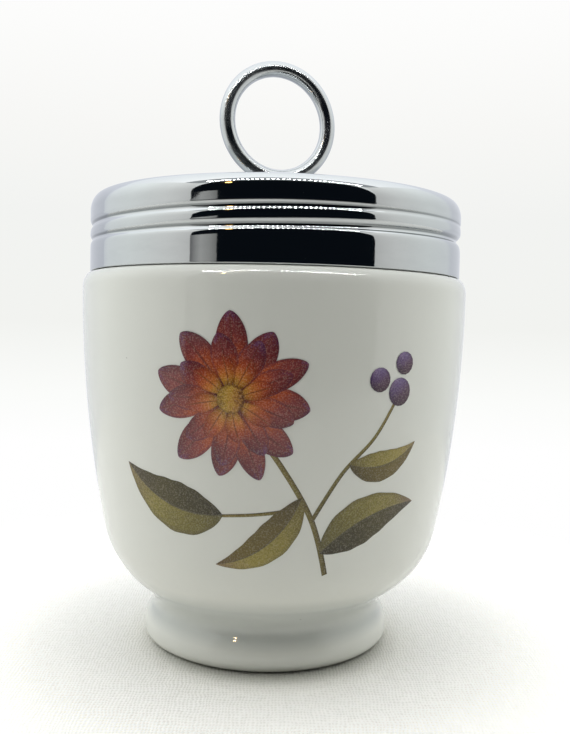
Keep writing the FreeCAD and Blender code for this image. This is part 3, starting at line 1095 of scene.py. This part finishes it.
# ------------------------------------------------------------------ lifting ring
@dataclass
class LiftingRing:
    """Closed wire ring brazed into the stud's saddle. Sizes in millimetres."""

    outer_radius: float = 10.72
    wire_radius: float = 1.35
    centre_level: float = 89.446
    turn_deg: float = 20.0
    around: int = 224
    across: int = 48

    def build(self, chrome: bpy.types.Material) -> bpy.types.Object:
        """Make the ring, riding on its body in place of the CAD node.

        Args:
            chrome: The ring's material.

        Returns:
            The piece.
        """
        middle = self.outer_radius - self.wire_radius
        deselect_all()
        bpy.ops.mesh.primitive_circle_add(vertices=self.across, radius=self.wire_radius * MM,
                                          location=(middle * MM, 0.0, self.centre_level * MM))
        piece = bpy.context.object
        bpy.ops.object.transform_apply(location=True, rotation=True, scale=True)
        bpy.ops.object.mode_set(mode="EDIT")
        spin_closed(self.around, self.centre_level, (0.0, 1.0, 0.0))
        piece.rotation_euler = (0.0, 0.0, math.radians(self.turn_deg))
        finish_piece(piece, "chromed_lifting_ring", chrome, 60.0)
        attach(piece, "ring")
        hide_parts("lifting_ring")
        return piece


# ------------------------------------------------------------------ printed spray
@dataclass
class Stroke:
    """One printed shape, laid out flat: x is arc length round the cup from the front, y is the level."""

    motif: Motif
    spine: Sequence[Point2]
    width: Callable[[float], float]
    layer: int
    rows: int


def polar(centre: Point2, angle_deg: float, reach: float) -> Point2:
    """Point at a distance from a centre, in the direction of an angle."""
    angle = math.radians(angle_deg)
    return (centre[0] + reach * math.cos(angle), centre[1] + reach * math.sin(angle))


def disc_width(radius: float) -> Callable[[float], float]:
    """Half width of a disc, as a function of the share of the way across it."""
    return lambda u: radius * math.sqrt(max(0.0, 1 - (2 * u - 1) ** 2))


@dataclass
class PrintedSpray:
    """Generic flower spray on the bowl: open flower, berries, leaves and stem. Sizes in millimetres."""

    cup: Cup
    grid: float = 0.5
    lift: float = 0.02
    layer_step: float = 0.008
    least_half_width: float = 0.012
    berry_light_deg: float = 125.0
    strokes: list[Stroke] = field(default_factory=list)

    def on_cup(self, x: float, level: float, lift: float) -> Point3:
        """Place on the bowl of a point of the flat layout.

        Args:
            x: Arc length round the cup from the front.
            level: Level of the point.
            lift: Height over the glaze.

        Returns:
            The place in metres.
        """
        radius = self.cup.radius_at(level) + lift
        angle = x / self.cup.belly_radius
        return (radius * math.sin(angle) * MM, -radius * math.cos(angle) * MM, level * MM)

    @staticmethod
    def bend(start: Point2, end: Point2, bow: float, count: int = 24) -> list[Point2]:
        """Curved line between two points.

        Args:
            start: First point.
            end: Last point.
            bow: Sideways reach at the middle, as a share of the length; positive bows to the left.
            count: Steps.

        Returns:
            The line's points.
        """
        dx, dy = end[0] - start[0], end[1] - start[1]
        points = []
        for index in range(count + 1):
            t = index / count
            side = 4.0 * bow * t * (1.0 - t)
            points.append((start[0] + dx * t - dy * side, start[1] + dy * t + dx * side))
        return points

    def leaf(self, start: Point2, end: Point2, width: float, bow: float, layer: int,
             motif: Motif = Motif.LEAF) -> None:
        """Add a pointed leaf.

        Args:
            start: Its stalk's end.
            end: Its tip.
            width: Half its greatest width.
            bow: Sideways reach of its middle, as a share of its length.
            layer: Layer of print.
            motif: Its kind.
        """
        def shape(u: float) -> float:
            """Half width along the leaf, with a slightly waved edge."""
            body = math.sin(math.pi * u ** 0.82) ** 0.92 * (1.0 - 0.18 * u)
            return width * max(body, 0.0) * (1.0 + 0.02 * math.sin(u * 34.0))

        self.strokes.append(Stroke(motif, self.bend(start, end, bow, 60), shape, layer, 13))

    def petal(self, motif: Motif, spine: Sequence[Point2], width: float, layer: int) -> None:
        """Add a petal.

        Args:
            motif: Its kind.
            spine: Its middle line, from the flower's middle outwards.
            width: Half its greatest width.
            layer: Layer of print.
        """
        def shape(u: float) -> float:
            """Half width along the petal, broadest past the middle."""
            return width * (math.sin(math.pi * min(1.0, u ** 1.35 * 0.97 + 0.03)) ** 0.62)

        self.strokes.append(Stroke(motif, spine, shape, layer, 9))

    def flower(self, centre: Point2, size: float, seed: int, layer: int) -> None:
        """Add an open flower with three rows of petals and a grainy eye.

        Args:
            centre: Middle of the flower.
            size: Outer radius.
            seed: Seed of its small differences.
            layer: First layer of print.
        """
        rng = random.Random(seed)
        rows = ((Motif.PETAL, 11, 1.00, 0.30, 0), (Motif.PETAL, 9, 0.80, 0.26, 1),
                (Motif.INNER_PETAL, 8, 0.56, 0.19, 2))
        for motif, count, reach, wide, row in rows:
            offset = rng.uniform(0, 360)
            for index in range(count):
                angle = offset + 360.0 * index / count + rng.uniform(-4, 4)
                tip = polar(centre, angle, size * reach * rng.uniform(0.93, 1.03))
                width = size * wide * rng.uniform(0.92, 1.06) * 0.62
                spine = self.bend(polar(centre, angle, size * 0.10), tip, rng.uniform(-0.05, 0.05))
                self.petal(motif, spine, width, layer + row * 3 + index % 3)
        eye = size * 0.17
        spine = self.bend((centre[0] - eye, centre[1]), (centre[0] + eye, centre[1]), 0.0)
        self.strokes.append(Stroke(Motif.EYE, spine, disc_width(eye), layer + 10, 9))

    def berry(self, centre: Point2, radius: float, layer: int) -> None:
        """Add a round berry, its light side up and to the left."""
        light, dark = (polar(centre, self.berry_light_deg, reach) for reach in (radius, -radius))
        self.strokes.append(Stroke(Motif.BERRY, self.bend(light, dark, 0.0), disc_width(radius), layer, 11))

    def line(self, points: Sequence[Point2], thick: float, thin: float, layer: int) -> None:
        """Add a stem that tapers.

        Args:
            points: Points that it passes through.
            thick: Width at the first point.
            thin: Width at the last point.
            layer: Layer of print.
        """
        spine = []
        table = np.array([points[0], *points, points[-1]], float)
        for index in range(1, len(table) - 2):
            p0, p1, p2, p3 = table[index - 1:index + 3]
            for step in range(14):
                t = step / 14.0
                spine.append(tuple(0.5 * (2 * p1 + (p2 - p0) * t + (2 * p0 - 5 * p1 + 4 * p2 - p3) * t * t
                                          + (3 * p1 - p0 - 3 * p2 + p3) * t ** 3)))
        spine.append(tuple(points[-1]))
        self.strokes.append(
            Stroke(Motif.STEM, spine, lambda u: (thick + (thin - thick) * u) / 2.0, layer, 5))

    def stroke_mesh(self, mesh: bmesh.types.BMesh, stroke: Stroke, slot: int) -> None:
        """Lay one shape on the bowl as a grid with its own UVs.

        Args:
            mesh: Mesh that the shape joins.
            stroke: The shape.
            slot: Its material slot.
        """
        spine = np.array(stroke.spine, float)
        gaps = np.hypot(*np.diff(spine, axis=0).T)
        run = np.concatenate([[0.0], np.cumsum(gaps)])
        columns = max(6, math.ceil(run[-1] / self.grid))
        uv_layer = mesh.loops.layers.uv["print"]
        lift = self.lift + self.layer_step * stroke.layer

        def at(s: float) -> tuple[float, float]:
            """Point of the spine after a run of arc length."""
            return np.interp(s, run, spine[:, 0]), np.interp(s, run, spine[:, 1])

        grid = []
        for i in range(columns + 1):
            u = 0.5 - 0.5 * math.cos(math.pi * i / columns)
            s = run[-1] * u
            x, y = at(s)
            ahead, behind = at(min(s + 0.05, run[-1])), at(max(s - 0.05, 0.0))
            tx, ty = ahead[0] - behind[0], ahead[1] - behind[1]
            length = math.hypot(tx, ty) or 1.0
            half = max(stroke.width(u), self.least_half_width)
            line = []
            for j in range(stroke.rows + 1):
                v = j / stroke.rows
                reach = half * (1.0 - 2.0 * v)
                place = self.on_cup(x - ty / length * reach, y + tx / length * reach, lift)
                line.append((mesh.verts.new(place), (u, v)))
            grid.append(line)
        for i in range(columns):
            for j in range(stroke.rows):
                corners = [grid[i][j], grid[i][j + 1], grid[i + 1][j + 1], grid[i + 1][j]]
                face = mesh.faces.new([corner[0] for corner in corners])
                face.material_index = slot
                face.smooth = True
                for loop, corner in zip(face.loops, corners):
                    loop[uv_layer].uv = corner[1]

    def build(self, name: str, enamels: dict[Motif, bpy.types.Material]) -> bpy.types.Object:
        """Make the spray as one thin sheet of print on the cup.

        Args:
            name: The piece's name.
            enamels: Material of each motif.

        Returns:
            The piece.
        """
        # Print is laid in mesh code: no operator drapes a flat drawing on a curved bowl.
        used = sorted({stroke.motif for stroke in self.strokes}, key=lambda m: m.value)
        mesh = bmesh.new()
        mesh.loops.layers.uv.new("print")
        for stroke in self.strokes:
            self.stroke_mesh(mesh, stroke, used.index(stroke.motif))
        data = bpy.data.meshes.new(name)
        mesh.to_mesh(data)
        mesh.free()
        for motif in used:
            data.materials.append(enamels[motif])
        piece = bpy.data.objects.new(name, data)
        bpy.context.scene.collection.objects.link(piece)
        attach(piece, "cup")
        return piece

    def front(self) -> None:
        """Lay out the front's spray."""
        self.line([(9.5, 17.5), (6.5, 26.0), (1.5, 34.0), (-4.0, 41.0)], 0.95, 0.75, 0)
        self.line([(6.5, 26.0), (11.0, 33.0), (16.0, 38.0), (19.5, 43.5)], 0.7, 0.5, 0)
        self.line([(5.6, 28.0), (-1.5, 27.0), (-8.0, 26.5)], 0.6, 0.45, 0)
        self.leaf((8.2, 21.0), (26.0, 27.5), 3.9, 0.10, 1)
        self.leaf((-7.5, 26.6), (-25.0, 33.0), 4.2, 0.12, 1)
        self.leaf((4.8, 29.5), (-9.0, 19.0), 3.0, 0.14, 2, Motif.SMALL_LEAF)
        self.leaf((12.0, 34.2), (24.5, 37.0), 2.5, -0.14, 2, Motif.SMALL_LEAF)
        self.berry((20.0, 44.6), 2.1, 3)
        self.berry((16.2, 46.4), 1.8, 4)
        self.berry((20.6, 48.8), 1.7, 5)
        self.flower((-6.0, 43.5), 12.0, 5, 5)

    def back(self) -> None:
        """Lay out the small sprig on the back, at half a turn."""
        half = math.pi * self.cup.belly_radius
        self.line([(half + 2.0, 30.0), (half, 36.0), (half - 2.0, 41.0)], 0.6, 0.4, 0)
        self.leaf((half + 0.6, 34.0), (half + 9.0, 38.5), 2.0, 0.10, 1, Motif.SMALL_LEAF)
        self.leaf((half + 0.2, 36.0), (half - 8.0, 35.0), 1.8, -0.12, 1, Motif.SMALL_LEAF)
        self.berry((half - 2.4, 42.6), 1.7, 2)
        self.berry((half + 0.8, 43.6), 1.5, 3)


# ------------------------------------------------------------------ studio
@dataclass(frozen=True)
class Cloth:
    """Bleached cotton in plain weave, with painted shade beyond the tent, and fading into the background.

    It gives pale threads with slubs and a few specks of lint, and a soft painted shadow where the
    foot stands. Sizes in millimetres.
    """

    name: str = "bleached_cotton_cloth"
    tones: Stops = ((0.30, "#EBE9E2"), (0.62, "#FBF9F4"))
    tone_share: float = 0.25
    thread_spacing: Point2 = (0.52, 0.74)
    thread_factor: float = 0.314
    thread_height: float = 0.16
    thread_strength: float = 0.35
    wobble_scale: float = 260.0
    wobble: Point3 = (1.5, 1.5, 0.0)
    slub_scale: float = 900.0
    slub: float = 2.8
    lint: str = "#6E665C"
    lint_scale: float = 90.0
    lint_size: float = 0.022
    lint_share: float = 0.55
    # Painted shade beyond the tent: its colour, the span of Y over which it comes in, and the share of the
    # cloth's own tone left.
    dark: str = "#3C3D40"
    dark_span: Point2 = (-225.0, -155.0)
    dark_share: float = 0.12
    # Painted shadow round the foot: its middle, the span over which it fades out, and its tones.
    contact_shade_place: Point3 = (0.1, -5.5, 0.0)
    contact_shade_span: Point2 = (16.5, 28.0)
    contact_shade: Stops = ((0.0, "#9E9F9B"), (0.17, "#CBCCC8"), (0.36, "#F0F0EE"), (0.55, "#FDFDFC"), (1.0, WHITE))
    fade_span: Point2 = (52.0, 100.0)
    open_span: Point2 = (29.0, 62.0)
    open_light: float = 0.24
    open_tint: str = "#FFFEFA"

    def weave(self, tree: Tree, place: Socket) -> bpy.types.Node:
        """Weave the threads.

        Args:
            tree: Node tree.
            place: Object coordinates.

        Returns:
            Height of the threads and slubs.
        """
        wobble = add_node(tree, "TexNoise", {"Vector": place, "Scale": self.wobble_scale, "Detail": 3.0})
        drawn = add_node(tree, "VectorMath", {"operation": "MULTIPLY_ADD", 0: wobble.outputs["Color"],
                                              1: [v * MM for v in self.wobble], 2: place})
        threads = [add_node(tree, "TexWave", {"Vector": drawn, "bands_direction": way,
                                              "Scale": self.thread_factor / (spacing * MM),
                                              "Distortion": 1.5, "Detail": 2.0,
                                              "Detail Scale": 1.5}).outputs["Fac"]
                   for way, spacing in zip("XY", self.thread_spacing)]
        woven = add_node(tree, "Math", {"operation": "ADD", 0: threads[0], 1: threads[1]})
        slubs = add_node(tree, "TexNoise", {"Vector": place, "Scale": self.slub_scale, "Detail": 4.0,
                                            "Roughness": 0.7})
        return add_node(tree, "Math", {"operation": "MULTIPLY_ADD", 0: slubs, 1: self.slub, 2: woven})

    def colour(self, tree: Tree, place: Socket, height: bpy.types.Node) -> Socket:
        """Colour the cloth, with its lint, painted shade on its front beyond the tent and a painted shadow
        under the foot.

        Args:
            tree: Node tree.
            place: Object coordinates.
            height: Height of the threads.

        Returns:
            The colour's socket.
        """
        share = add_node(tree, "Math", {"operation": "MULTIPLY", 0: height, 1: self.tone_share})
        tone = add_node(tree, "ValToRGB", {"Fac": share, "stops": self.tones})
        lint = add_node(tree, "TexVoronoi", {"Vector": place, "Scale": self.lint_scale})
        fleck = add_node(tree, "Math", {"operation": "LESS_THAN", 0: lint.outputs["Distance"],
                                        1: self.lint_size})
        fleck = add_node(tree, "Math", {"operation": "MULTIPLY", 0: fleck, 1: self.lint_share})
        tone = add_node(tree, "Mix", {"data_type": "RGBA", 0: fleck, 6: tone, 7: self.lint}).outputs[2]
        # Painted shade: the cloth beyond the tent's opening, out in the dark room, is darkened in its
        # colour.
        axes = add_node(tree, "SeparateXYZ", {"Vector": place})
        start, end = self.dark_span
        dim = add_node(tree, "MapRange", {"interpolation_type": "SMOOTHSTEP", "Value": axes.outputs["Y"],
                                          "From Min": start * MM, "From Max": end * MM,
                                          "To Min": self.dark_share, "To Max": 1.0})
        tone = add_node(tree, "Mix", {"data_type": "RGBA", 0: dim, 6: self.dark, 7: tone}).outputs[2]
        # Painted shadow: a soft darkening of the cloth's colour round the foot.
        under = add_node(tree, "VectorMath", {"operation": "DISTANCE", 0: place,
                                              1: [v * MM for v in self.contact_shade_place]})
        start, end = self.contact_shade_span
        near = add_node(tree, "MapRange", {"Value": under.outputs["Value"], "From Min": start * MM,
                                           "From Max": end * MM})
        contact_shade = add_node(tree, "ValToRGB", {"Fac": near, "stops": self.contact_shade})
        return add_node(tree, "Mix", {"data_type": "RGBA", "blend_type": "MULTIPLY", 0: 1.0, 6: tone,
                                      7: contact_shade}).outputs[2]

    def build(self) -> bpy.types.Material:
        """Make the material.

        Returns:
            The material.
        """
        material, tree, place = new_tree(self.name)
        height = self.weave(tree, place)
        bump = add_node(tree, "Bump", {"Height": height, "Strength": self.thread_strength,
                                       "Distance": self.thread_height * MM})
        cloth = add_node(tree, "BsdfDiffuse", {"Color": self.colour(tree, place, height), "Normal": bump})
        away = add_node(tree, "VectorMath", {"operation": "LENGTH", 0: place}).outputs["Value"]
        camera = add_node(tree, "LightPath", {}).outputs["Is Camera Ray"]
        shares = []
        for (start, end), most in ((self.fade_span, 1.0), (self.open_span, self.open_light)):
            share = add_node(tree, "MapRange", {"interpolation_type": "SMOOTHSTEP", "Value": away,
                                                "From Min": start * MM, "From Max": end * MM,
                                                "To Max": most})
            shares.append(add_node(tree, "Math", {"operation": "MULTIPLY", 0: share, 1: camera}))
        fade, light = shares
        lift = add_node(tree, "Emission", {"Color": self.open_tint, "Strength": light})
        lit = add_node(tree, "AddShader", {0: cloth, 1: lift})
        clear = add_node(tree, "BsdfTransparent", {})
        both = add_node(tree, "MixShader", {0: fade, 1: lit, 2: clear})
        add_node(tree, "OutputMaterial", {"Surface": both})
        return material


@dataclass
class Studio:
    """Light tent, floor, camera and background. Sizes in millimetres."""

    corners: tuple[Point2, ...] = ((-180.0, -168.0), (-206.0, 107.0), (167.0, 109.0), (190.0, -133.0))
    height: float = 225.0
    rise_level: float = 70.0
    side_stops: Stops = ((0.0, "#DADAD8"), (0.25, "#EDEEEC"), (0.6, "#F6FAF9"), (0.9, "#F0F4F6"),
                         (1.0, "#E4E8EE"))
    back_stops: Stops = ((0.0, "#E0E3EC"), (1.0, "#E4E7EE"))
    roof_stops: Stops = ((0.0, WHITE), (0.35, "#F2F4F5"), (1.0, "#DCE0E4"))
    gusset_reach: float = 75.0
    gusset_drop: float = 130.0
    gusset_steps: int = 6
    strip_inset: float = 22.0
    strip_ends: tuple[float, float] = (50.0, 34.0)
    strip_hang: float = 2.0
    carrier_depth: Point2 = (-4.0, 54.0)
    diode_spacing: float = 8.33
    diode_half: float = 1.0
    diode_depth: Point2 = (16.0, 24.0)
    diode_power: float = 60.0
    end_half: float = 2.0
    end_depth: Point2 = (13.0, 25.0)
    glaze_half: float = 0.9
    glaze_depth: Point2 = (2.0, 34.0)
    glaze_lead: float = 10.0
    glaze_power: float = 70.0
    board: tuple[Point2, Point2] = ((-700.0, -60.0), (-258.0, 158.0))
    board_depth: float = -400.0
    board_span: Point2 = (-455.0, -258.0)
    board_stops: Stops = ((0.0, "#7A7A7A"), (0.15, "#9A9A9A"), (0.45, "#BDBDBB"), (0.8, "#A8A8A6"),
                          (1.0, "#8C8C8A"))
    lamp_place: Point3 = (-358.0, -600.0, 582.0)
    lamp_reach: Point2 = (32.0, 24.0)
    lamp_facets: int = 12
    lamp_power: float = 14.0
    glaze_lamp: tuple[Point2, Point2] = ((-384.0, 547.0), (-348.0, 617.0))
    glaze_lamp_depth: float = -590.0
    glaze_lamp_power: float = 75.0
    floor_reach: float = 520.0
    paper_stops: Stops = ((0.0, WHITE), (0.22, WHITE), (0.30, "#FBFCFA"), (0.42, "#F2F3F0"),
                          (0.60, "#F2F3F1"), (0.74, "#F7F7F5"), (0.88, "#FCFCFB"), (1.0, WHITE))
    paper_span: Point2 = (-0.30, 0.42)
    dark_room: str = "#0D1218"
    focal_px: float = 800.0
    frame_px: float = 734.0
    camera_place: Point3 = (0.0, -142.98, 53.61)
    pitch_deg: float = 2.829
    yaw_deg: float = 0.833
    roll_deg: float = 1.239
    glaze_lights: list[bpy.types.Object] = field(default_factory=list)

    def glow(self, name: str, stops: Stops, strength: float, axis: int = 0, reach: Point2 = (-200.0, 200.0),
             rise: float = 0.0, lighting: float = 1.17, clear: bool = False) -> bpy.types.Material:
        """Emission that shades from stop to stop along one axis of the stage.

        Args:
            name: Material name.
            stops: Position and sRGB hex colour of each stop.
            strength: Emission strength.
            axis: 0, 1 or 2 for X, Y or Z.
            reach: Coordinates in millimetres of positions 0 and 1.
            rise: Share by which the glow grows from the floor to the roof.
            lighting: How much stronger it lights matt surfaces than it shows in glossy ones.
            clear: Whether what is behind it shows through.

        Returns:
            The material.
        """
        material, tree, place = new_tree(name)
        axes = add_node(tree, "SeparateXYZ", {"Vector": place})
        grown = add_node(tree, "MapRange", {"interpolation_type": "SMOOTHSTEP", "Value": axes.outputs["Z"],
                                            "From Min": self.rise_level * MM, "From Max": self.height * MM,
                                            "To Min": strength, "To Max": strength * (1.0 + rise)})
        share = add_node(tree, "MapRange", {"Value": axes.outputs[axis], "From Min": reach[0] * MM,
                                            "From Max": reach[1] * MM})
        colour = add_node(tree, "ValToRGB", {"Fac": share, "stops": stops})
        path = add_node(tree, "LightPath", {})
        scale = add_node(tree, "Math", {"operation": "MULTIPLY_ADD", 0: path.outputs["Is Glossy Ray"],
                                        1: 1.0 - lighting, 2: lighting})
        power = add_node(tree, "Math", {"operation": "MULTIPLY", 0: grown, 1: scale})
        light = add_node(tree, "Emission", {"Color": colour, "Strength": power})
        if clear:
            light = add_node(tree, "AddShader", {0: light, 1: add_node(tree, "BsdfTransparent", {})})
        add_node(tree, "OutputMaterial", {"Surface": light})
        return material

    def even_glow(self, name: str, tone: str, strength: float, **settings: float) -> bpy.types.Material:
        """Emission of one colour, with the settings of glow."""
        return self.glow(name, ((0.0, tone), (1.0, tone)), strength, **settings)

    def panel(self, places: Sequence[Point3], material: bpy.types.Material,
              lights: bool) -> bpy.types.Object:
        """Flat panel of the tent, unseen by the camera.

        Args:
            places: Its corners, in order; several panels may follow each other, four corners each.
            material: Its glow, whose name it takes.
            lights: Whether it lights the object, or only shows in reflections.

        Returns:
            The panel.
        """
        data = bpy.data.meshes.new(material.name)
        faces = [tuple(range(i, i + 4)) for i in range(0, len(places), 4)]
        data.from_pydata([tuple(v * MM for v in place) for place in places], [], faces)
        data.materials.append(material)
        panel = bpy.data.objects.new(material.name, data)
        bpy.context.scene.collection.objects.link(panel)
        panel.visible_camera = False
        panel.visible_shadow = False
        panel.visible_diffuse = lights
        return panel

    @staticmethod
    def upright(left: Point2, right: Point2, low: float, high: float) -> list[Point3]:
        """Corners of a wall between two points of the floor, from a low level to a high one."""
        return [(*left, low), (*right, low), (*right, high), (*left, high)]

    def tent(self) -> None:
        """Put up the tent: two sides, a back and a roof, open to the front."""
        front_left, back_left, back_right, front_right = self.corners
        top = self.height
        for name, strength, front, back in (("tent_left", 1.12, front_left, back_left),
                                            ("tent_right", 1.02, front_right, back_right)):
            self.panel(self.upright(front, back, 0.0, top),
                       self.glow(name, self.side_stops, strength, 1, (front[1], back[1]), 0.35), True)
        self.panel(self.upright(back_left, back_right, 0.0, top),
                   self.glow("tent_back", self.back_stops, 1.0, 0, (-200.0, 170.0), 0.4), True)
        corners: list[Point3] = []
        quarter = math.pi / 2.0
        for start, other in ((front_left, front_right), (front_right, front_left)):
            along = (Vector(other) - Vector(start)).normalized()
            for index in range(self.gusset_steps):
                a, b = quarter * index / self.gusset_steps, quarter * (index + 1) / self.gusset_steps
                for angle, whole in ((a, False), (b, False), (b, True), (a, True)):
                    inward = 0.0 if whole else self.gusset_reach * (1.0 - math.cos(angle))
                    spot = Vector(start) + along * inward
                    corners.append((spot.x, spot.y, top - self.gusset_drop * (1.0 - math.sin(angle))))
        self.panel(corners, self.even_glow("tent_gussets", "#E6E8E6", 1.1, rise=0.35), True)
        self.panel([(*corner, top) for corner in self.corners],
                   self.glow("tent_roof", self.roof_stops, 1.75, 1, (-160.0, 110.0), lighting=1.2), True)

    def patch(self, run: float, half: float, depth: Point2, hang: float) -> list[Point3]:
        """Level patch that hangs below the roof along its front edge.

        Args:
            run: Place of its middle along the edge, from the left.
            half: Half its length along the edge.
            depth: How far behind the edge it begins and ends.
            hang: How far below the roof it hangs.

        Returns:
            Its corners.
        """
        left, right = Vector(self.corners[0]), Vector(self.corners[3])
        along = (right - left).normalized()
        back = Vector((-along.y, along.x))
        near, far = depth
        spots = [left + along * (run + side) + back * reach
                 for side, reach in ((-half, near), (half, near), (half, far), (-half, far))]
        return [(spot.x, spot.y, self.height - hang) for spot in spots]

    def strip(self) -> None:
        """Hang the row of diodes along the front edge of the roof, with its carrier."""
        length = math.dist(self.corners[0], self.corners[3])
        first, last = self.strip_ends[0], length - self.strip_ends[1]
        hang = self.strip_hang
        places: list[Point3] = []
        broad: list[Point3] = []
        for index in range(int((length - 2.0 * self.strip_inset) / self.diode_spacing)):
            run = self.strip_inset + self.diode_spacing * (index + 0.5)
            if first < run < last:
                places += self.patch(run, self.diode_half, self.diode_depth, hang + 1.0)
            if run > first - self.glaze_lead:
                broad += self.patch(run, self.glaze_half, self.glaze_depth, hang + 2.0)
        for run in (first, last):
            places += self.patch(run, self.end_half, self.end_depth, hang + 1.0)
        carrier = self.patch(length / 2.0, length / 2.0, self.carrier_depth, hang)
        self.for_glaze("strip_for_glaze", broad, WHITE, self.glaze_power)
        self.panel(places, self.even_glow("strip_diodes", WHITE, self.diode_power), False)
        self.panel(carrier, self.even_glow("strip_carrier", "#B6BABC", 1.0), False)

    def for_glaze(self, name: str, places: Sequence[Point3], tone: str, power: float) -> None:
        """Add a broad, clear copy of a small light, whose faint image in the glaze is otherwise lost.

        Args:
            name: Name of the panel.
            places: Its corners, four by four.
            tone: sRGB hex colour.
            power: Emission strength.
        """
        self.glaze_lights.append(self.panel(places, self.even_glow(name, tone, power, clear=True), False))

    def show_to(self, piece: bpy.types.Object) -> None:
        """Let the lights that are for the glaze shine on one piece only.

        Args:
            piece: The glazed piece.
        """
        group = bpy.data.collections.new("glazed_pieces")
        group.objects.link(piece)
        for light in self.glaze_lights:
            light.light_linking.receiver_collection = group

    def room(self) -> None:
        """Put a grey board and a warm lamp in the dark room beyond the tent's opening."""
        (left, low), (right, high) = self.board
        board = self.upright((left, self.board_depth), (right, self.board_depth), low, high)
        self.panel(board, self.glow("room_board", self.board_stops, 1.0, 0, self.board_span), False)
        x, y, z = self.lamp_place
        wide, tall = self.lamp_reach
        lamp = []
        for index in range(self.lamp_facets):
            a, b = math.tau * index / self.lamp_facets, math.tau * (index + 1) / self.lamp_facets
            lamp.append(self.lamp_place)
            for angle in (a, (a + b) / 2, b):
                lamp.append((x + wide * math.cos(angle), y, z + tall * math.sin(angle)))
        self.panel(lamp, self.even_glow("room_lamp", "#FFC66C", self.lamp_power), False)
        (left, low), (right, high) = self.glaze_lamp
        broad = self.upright((left, self.glaze_lamp_depth), (right, self.glaze_lamp_depth), low, high)
        self.for_glaze("lamp_for_glaze", broad, "#FFDFA8", self.glaze_lamp_power)

    def floor(self) -> None:
        """Lay the cloth on the floor."""
        deselect_all()
        bpy.ops.mesh.primitive_plane_add(size=2.0 * self.floor_reach * MM, location=(0.0, 0.0, 0.0))
        floor = bpy.context.object
        floor.name = "floor_cloth"
        floor.data.materials.append(Cloth().build())
        deselect_all()

    def background(self) -> None:
        """Set the world: white behind the object, near black where metal looks out of the tent."""
        world = bpy.data.worlds.new("studio")
        bpy.context.scene.world = world
        world.use_nodes = True
        tree = world.node_tree
        tree.nodes.clear()
        path = add_node(tree, "LightPath", {})
        direction = add_node(tree, "TexCoord", {}).outputs["Generated"]
        axes = add_node(tree, "SeparateXYZ", {"Vector": direction})
        low, high = self.paper_span
        share = add_node(tree, "MapRange", {"Value": axes.outputs["Z"], "From Min": low, "From Max": high})
        paper = add_node(tree, "ValToRGB", {"Fac": share, "stops": self.paper_stops})
        seen = add_node(tree, "Math", {"operation": "MAXIMUM", 0: path.outputs["Is Camera Ray"],
                                       1: path.outputs["Is Transmission Ray"]})
        white = add_node(tree, "Background", {"Color": paper, "Strength": 1.0})
        dark = add_node(tree, "Background", {"Color": self.dark_room, "Strength": 1.0})
        both = add_node(tree, "MixShader", {0: seen, 1: dark, 2: white})
        add_node(tree, "OutputWorld", {"Surface": both})

    def camera(self) -> None:
        """Place the camera."""
        pitch, yaw, roll = (math.radians(a) for a in (self.pitch_deg, self.yaw_deg, self.roll_deg))
        ahead = Vector((math.sin(yaw) * math.cos(pitch), math.cos(yaw) * math.cos(pitch), -math.sin(pitch)))
        right = ahead.cross(Vector((0.0, 0.0, 1.0))).normalized()
        up = right.cross(ahead)
        side = math.cos(roll) * right + math.sin(roll) * up
        top = -math.sin(roll) * right + math.cos(roll) * up
        data = bpy.data.cameras.new("camera")
        data.sensor_fit = "AUTO"
        data.sensor_width = 36.0
        data.lens = self.focal_px * data.sensor_width / self.frame_px
        data.clip_start = 0.005
        data.clip_end = 20.0
        camera = bpy.data.objects.new("camera", data)
        bpy.context.scene.collection.objects.link(camera)
        turn = Matrix((side, top, -ahead)).transposed().to_4x4()
        camera.matrix_world = Matrix.Translation(Vector(self.camera_place) * MM) @ turn
        bpy.context.scene.camera = camera

    def build(self) -> None:
        """Set up the whole studio."""
        self.camera()
        self.tent()
        self.strip()
        self.room()
        self.floor()
        self.background()


def dress_node(node: bpy.types.Object, material: bpy.types.Material) -> None:
    """Give a CAD node a better material in its own slots.

    Args:
        node: The node's object.
        material: The material.
    """
    for slot in node.material_slots:
        slot.material = material
    if not node.material_slots:
        node.data.materials.append(material)


def main() -> None:
    """Build the studio and every piece of the coddler."""
    logging.basicConfig(level=logging.INFO, format="%(name)s: %(message)s")
    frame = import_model()
    bpy.context.scene.view_settings.view_transform = "Standard"
    studio = Studio()
    studio.build()
    lid_chrome = PolishedChrome("polished_chrome_sheet").build()
    ring_chrome = PolishedChrome("polished_chrome_wire", roughness=0.13, scratch=0.25).build()
    cup = Cup()
    pieces = [cup.build(GlazedPorcelain().build()), ScrewLid().build(lid_chrome),
              LiftingRing().build(ring_chrome)]
    studio.show_to(pieces[0])
    enamels = {motif: enamel.build() for motif, enamel in ENAMELS.items()}
    front, back = PrintedSpray(cup), PrintedSpray(cup)
    front.front()
    back.back()
    pieces.append(front.build("printed_spray_front", enamels))
    pieces.append(back.build("printed_sprig_back", enamels))
    dress_node(frame["nodes"]["ring_stud"], ring_chrome)
    dress_node(frame["nodes"]["stud_washer"], TurnedBrass().build())
    for piece in pieces:
        LOG.info("%s: %d faces", piece.name, len(piece.data.polygons))


if __name__ == "__main__":
    main()
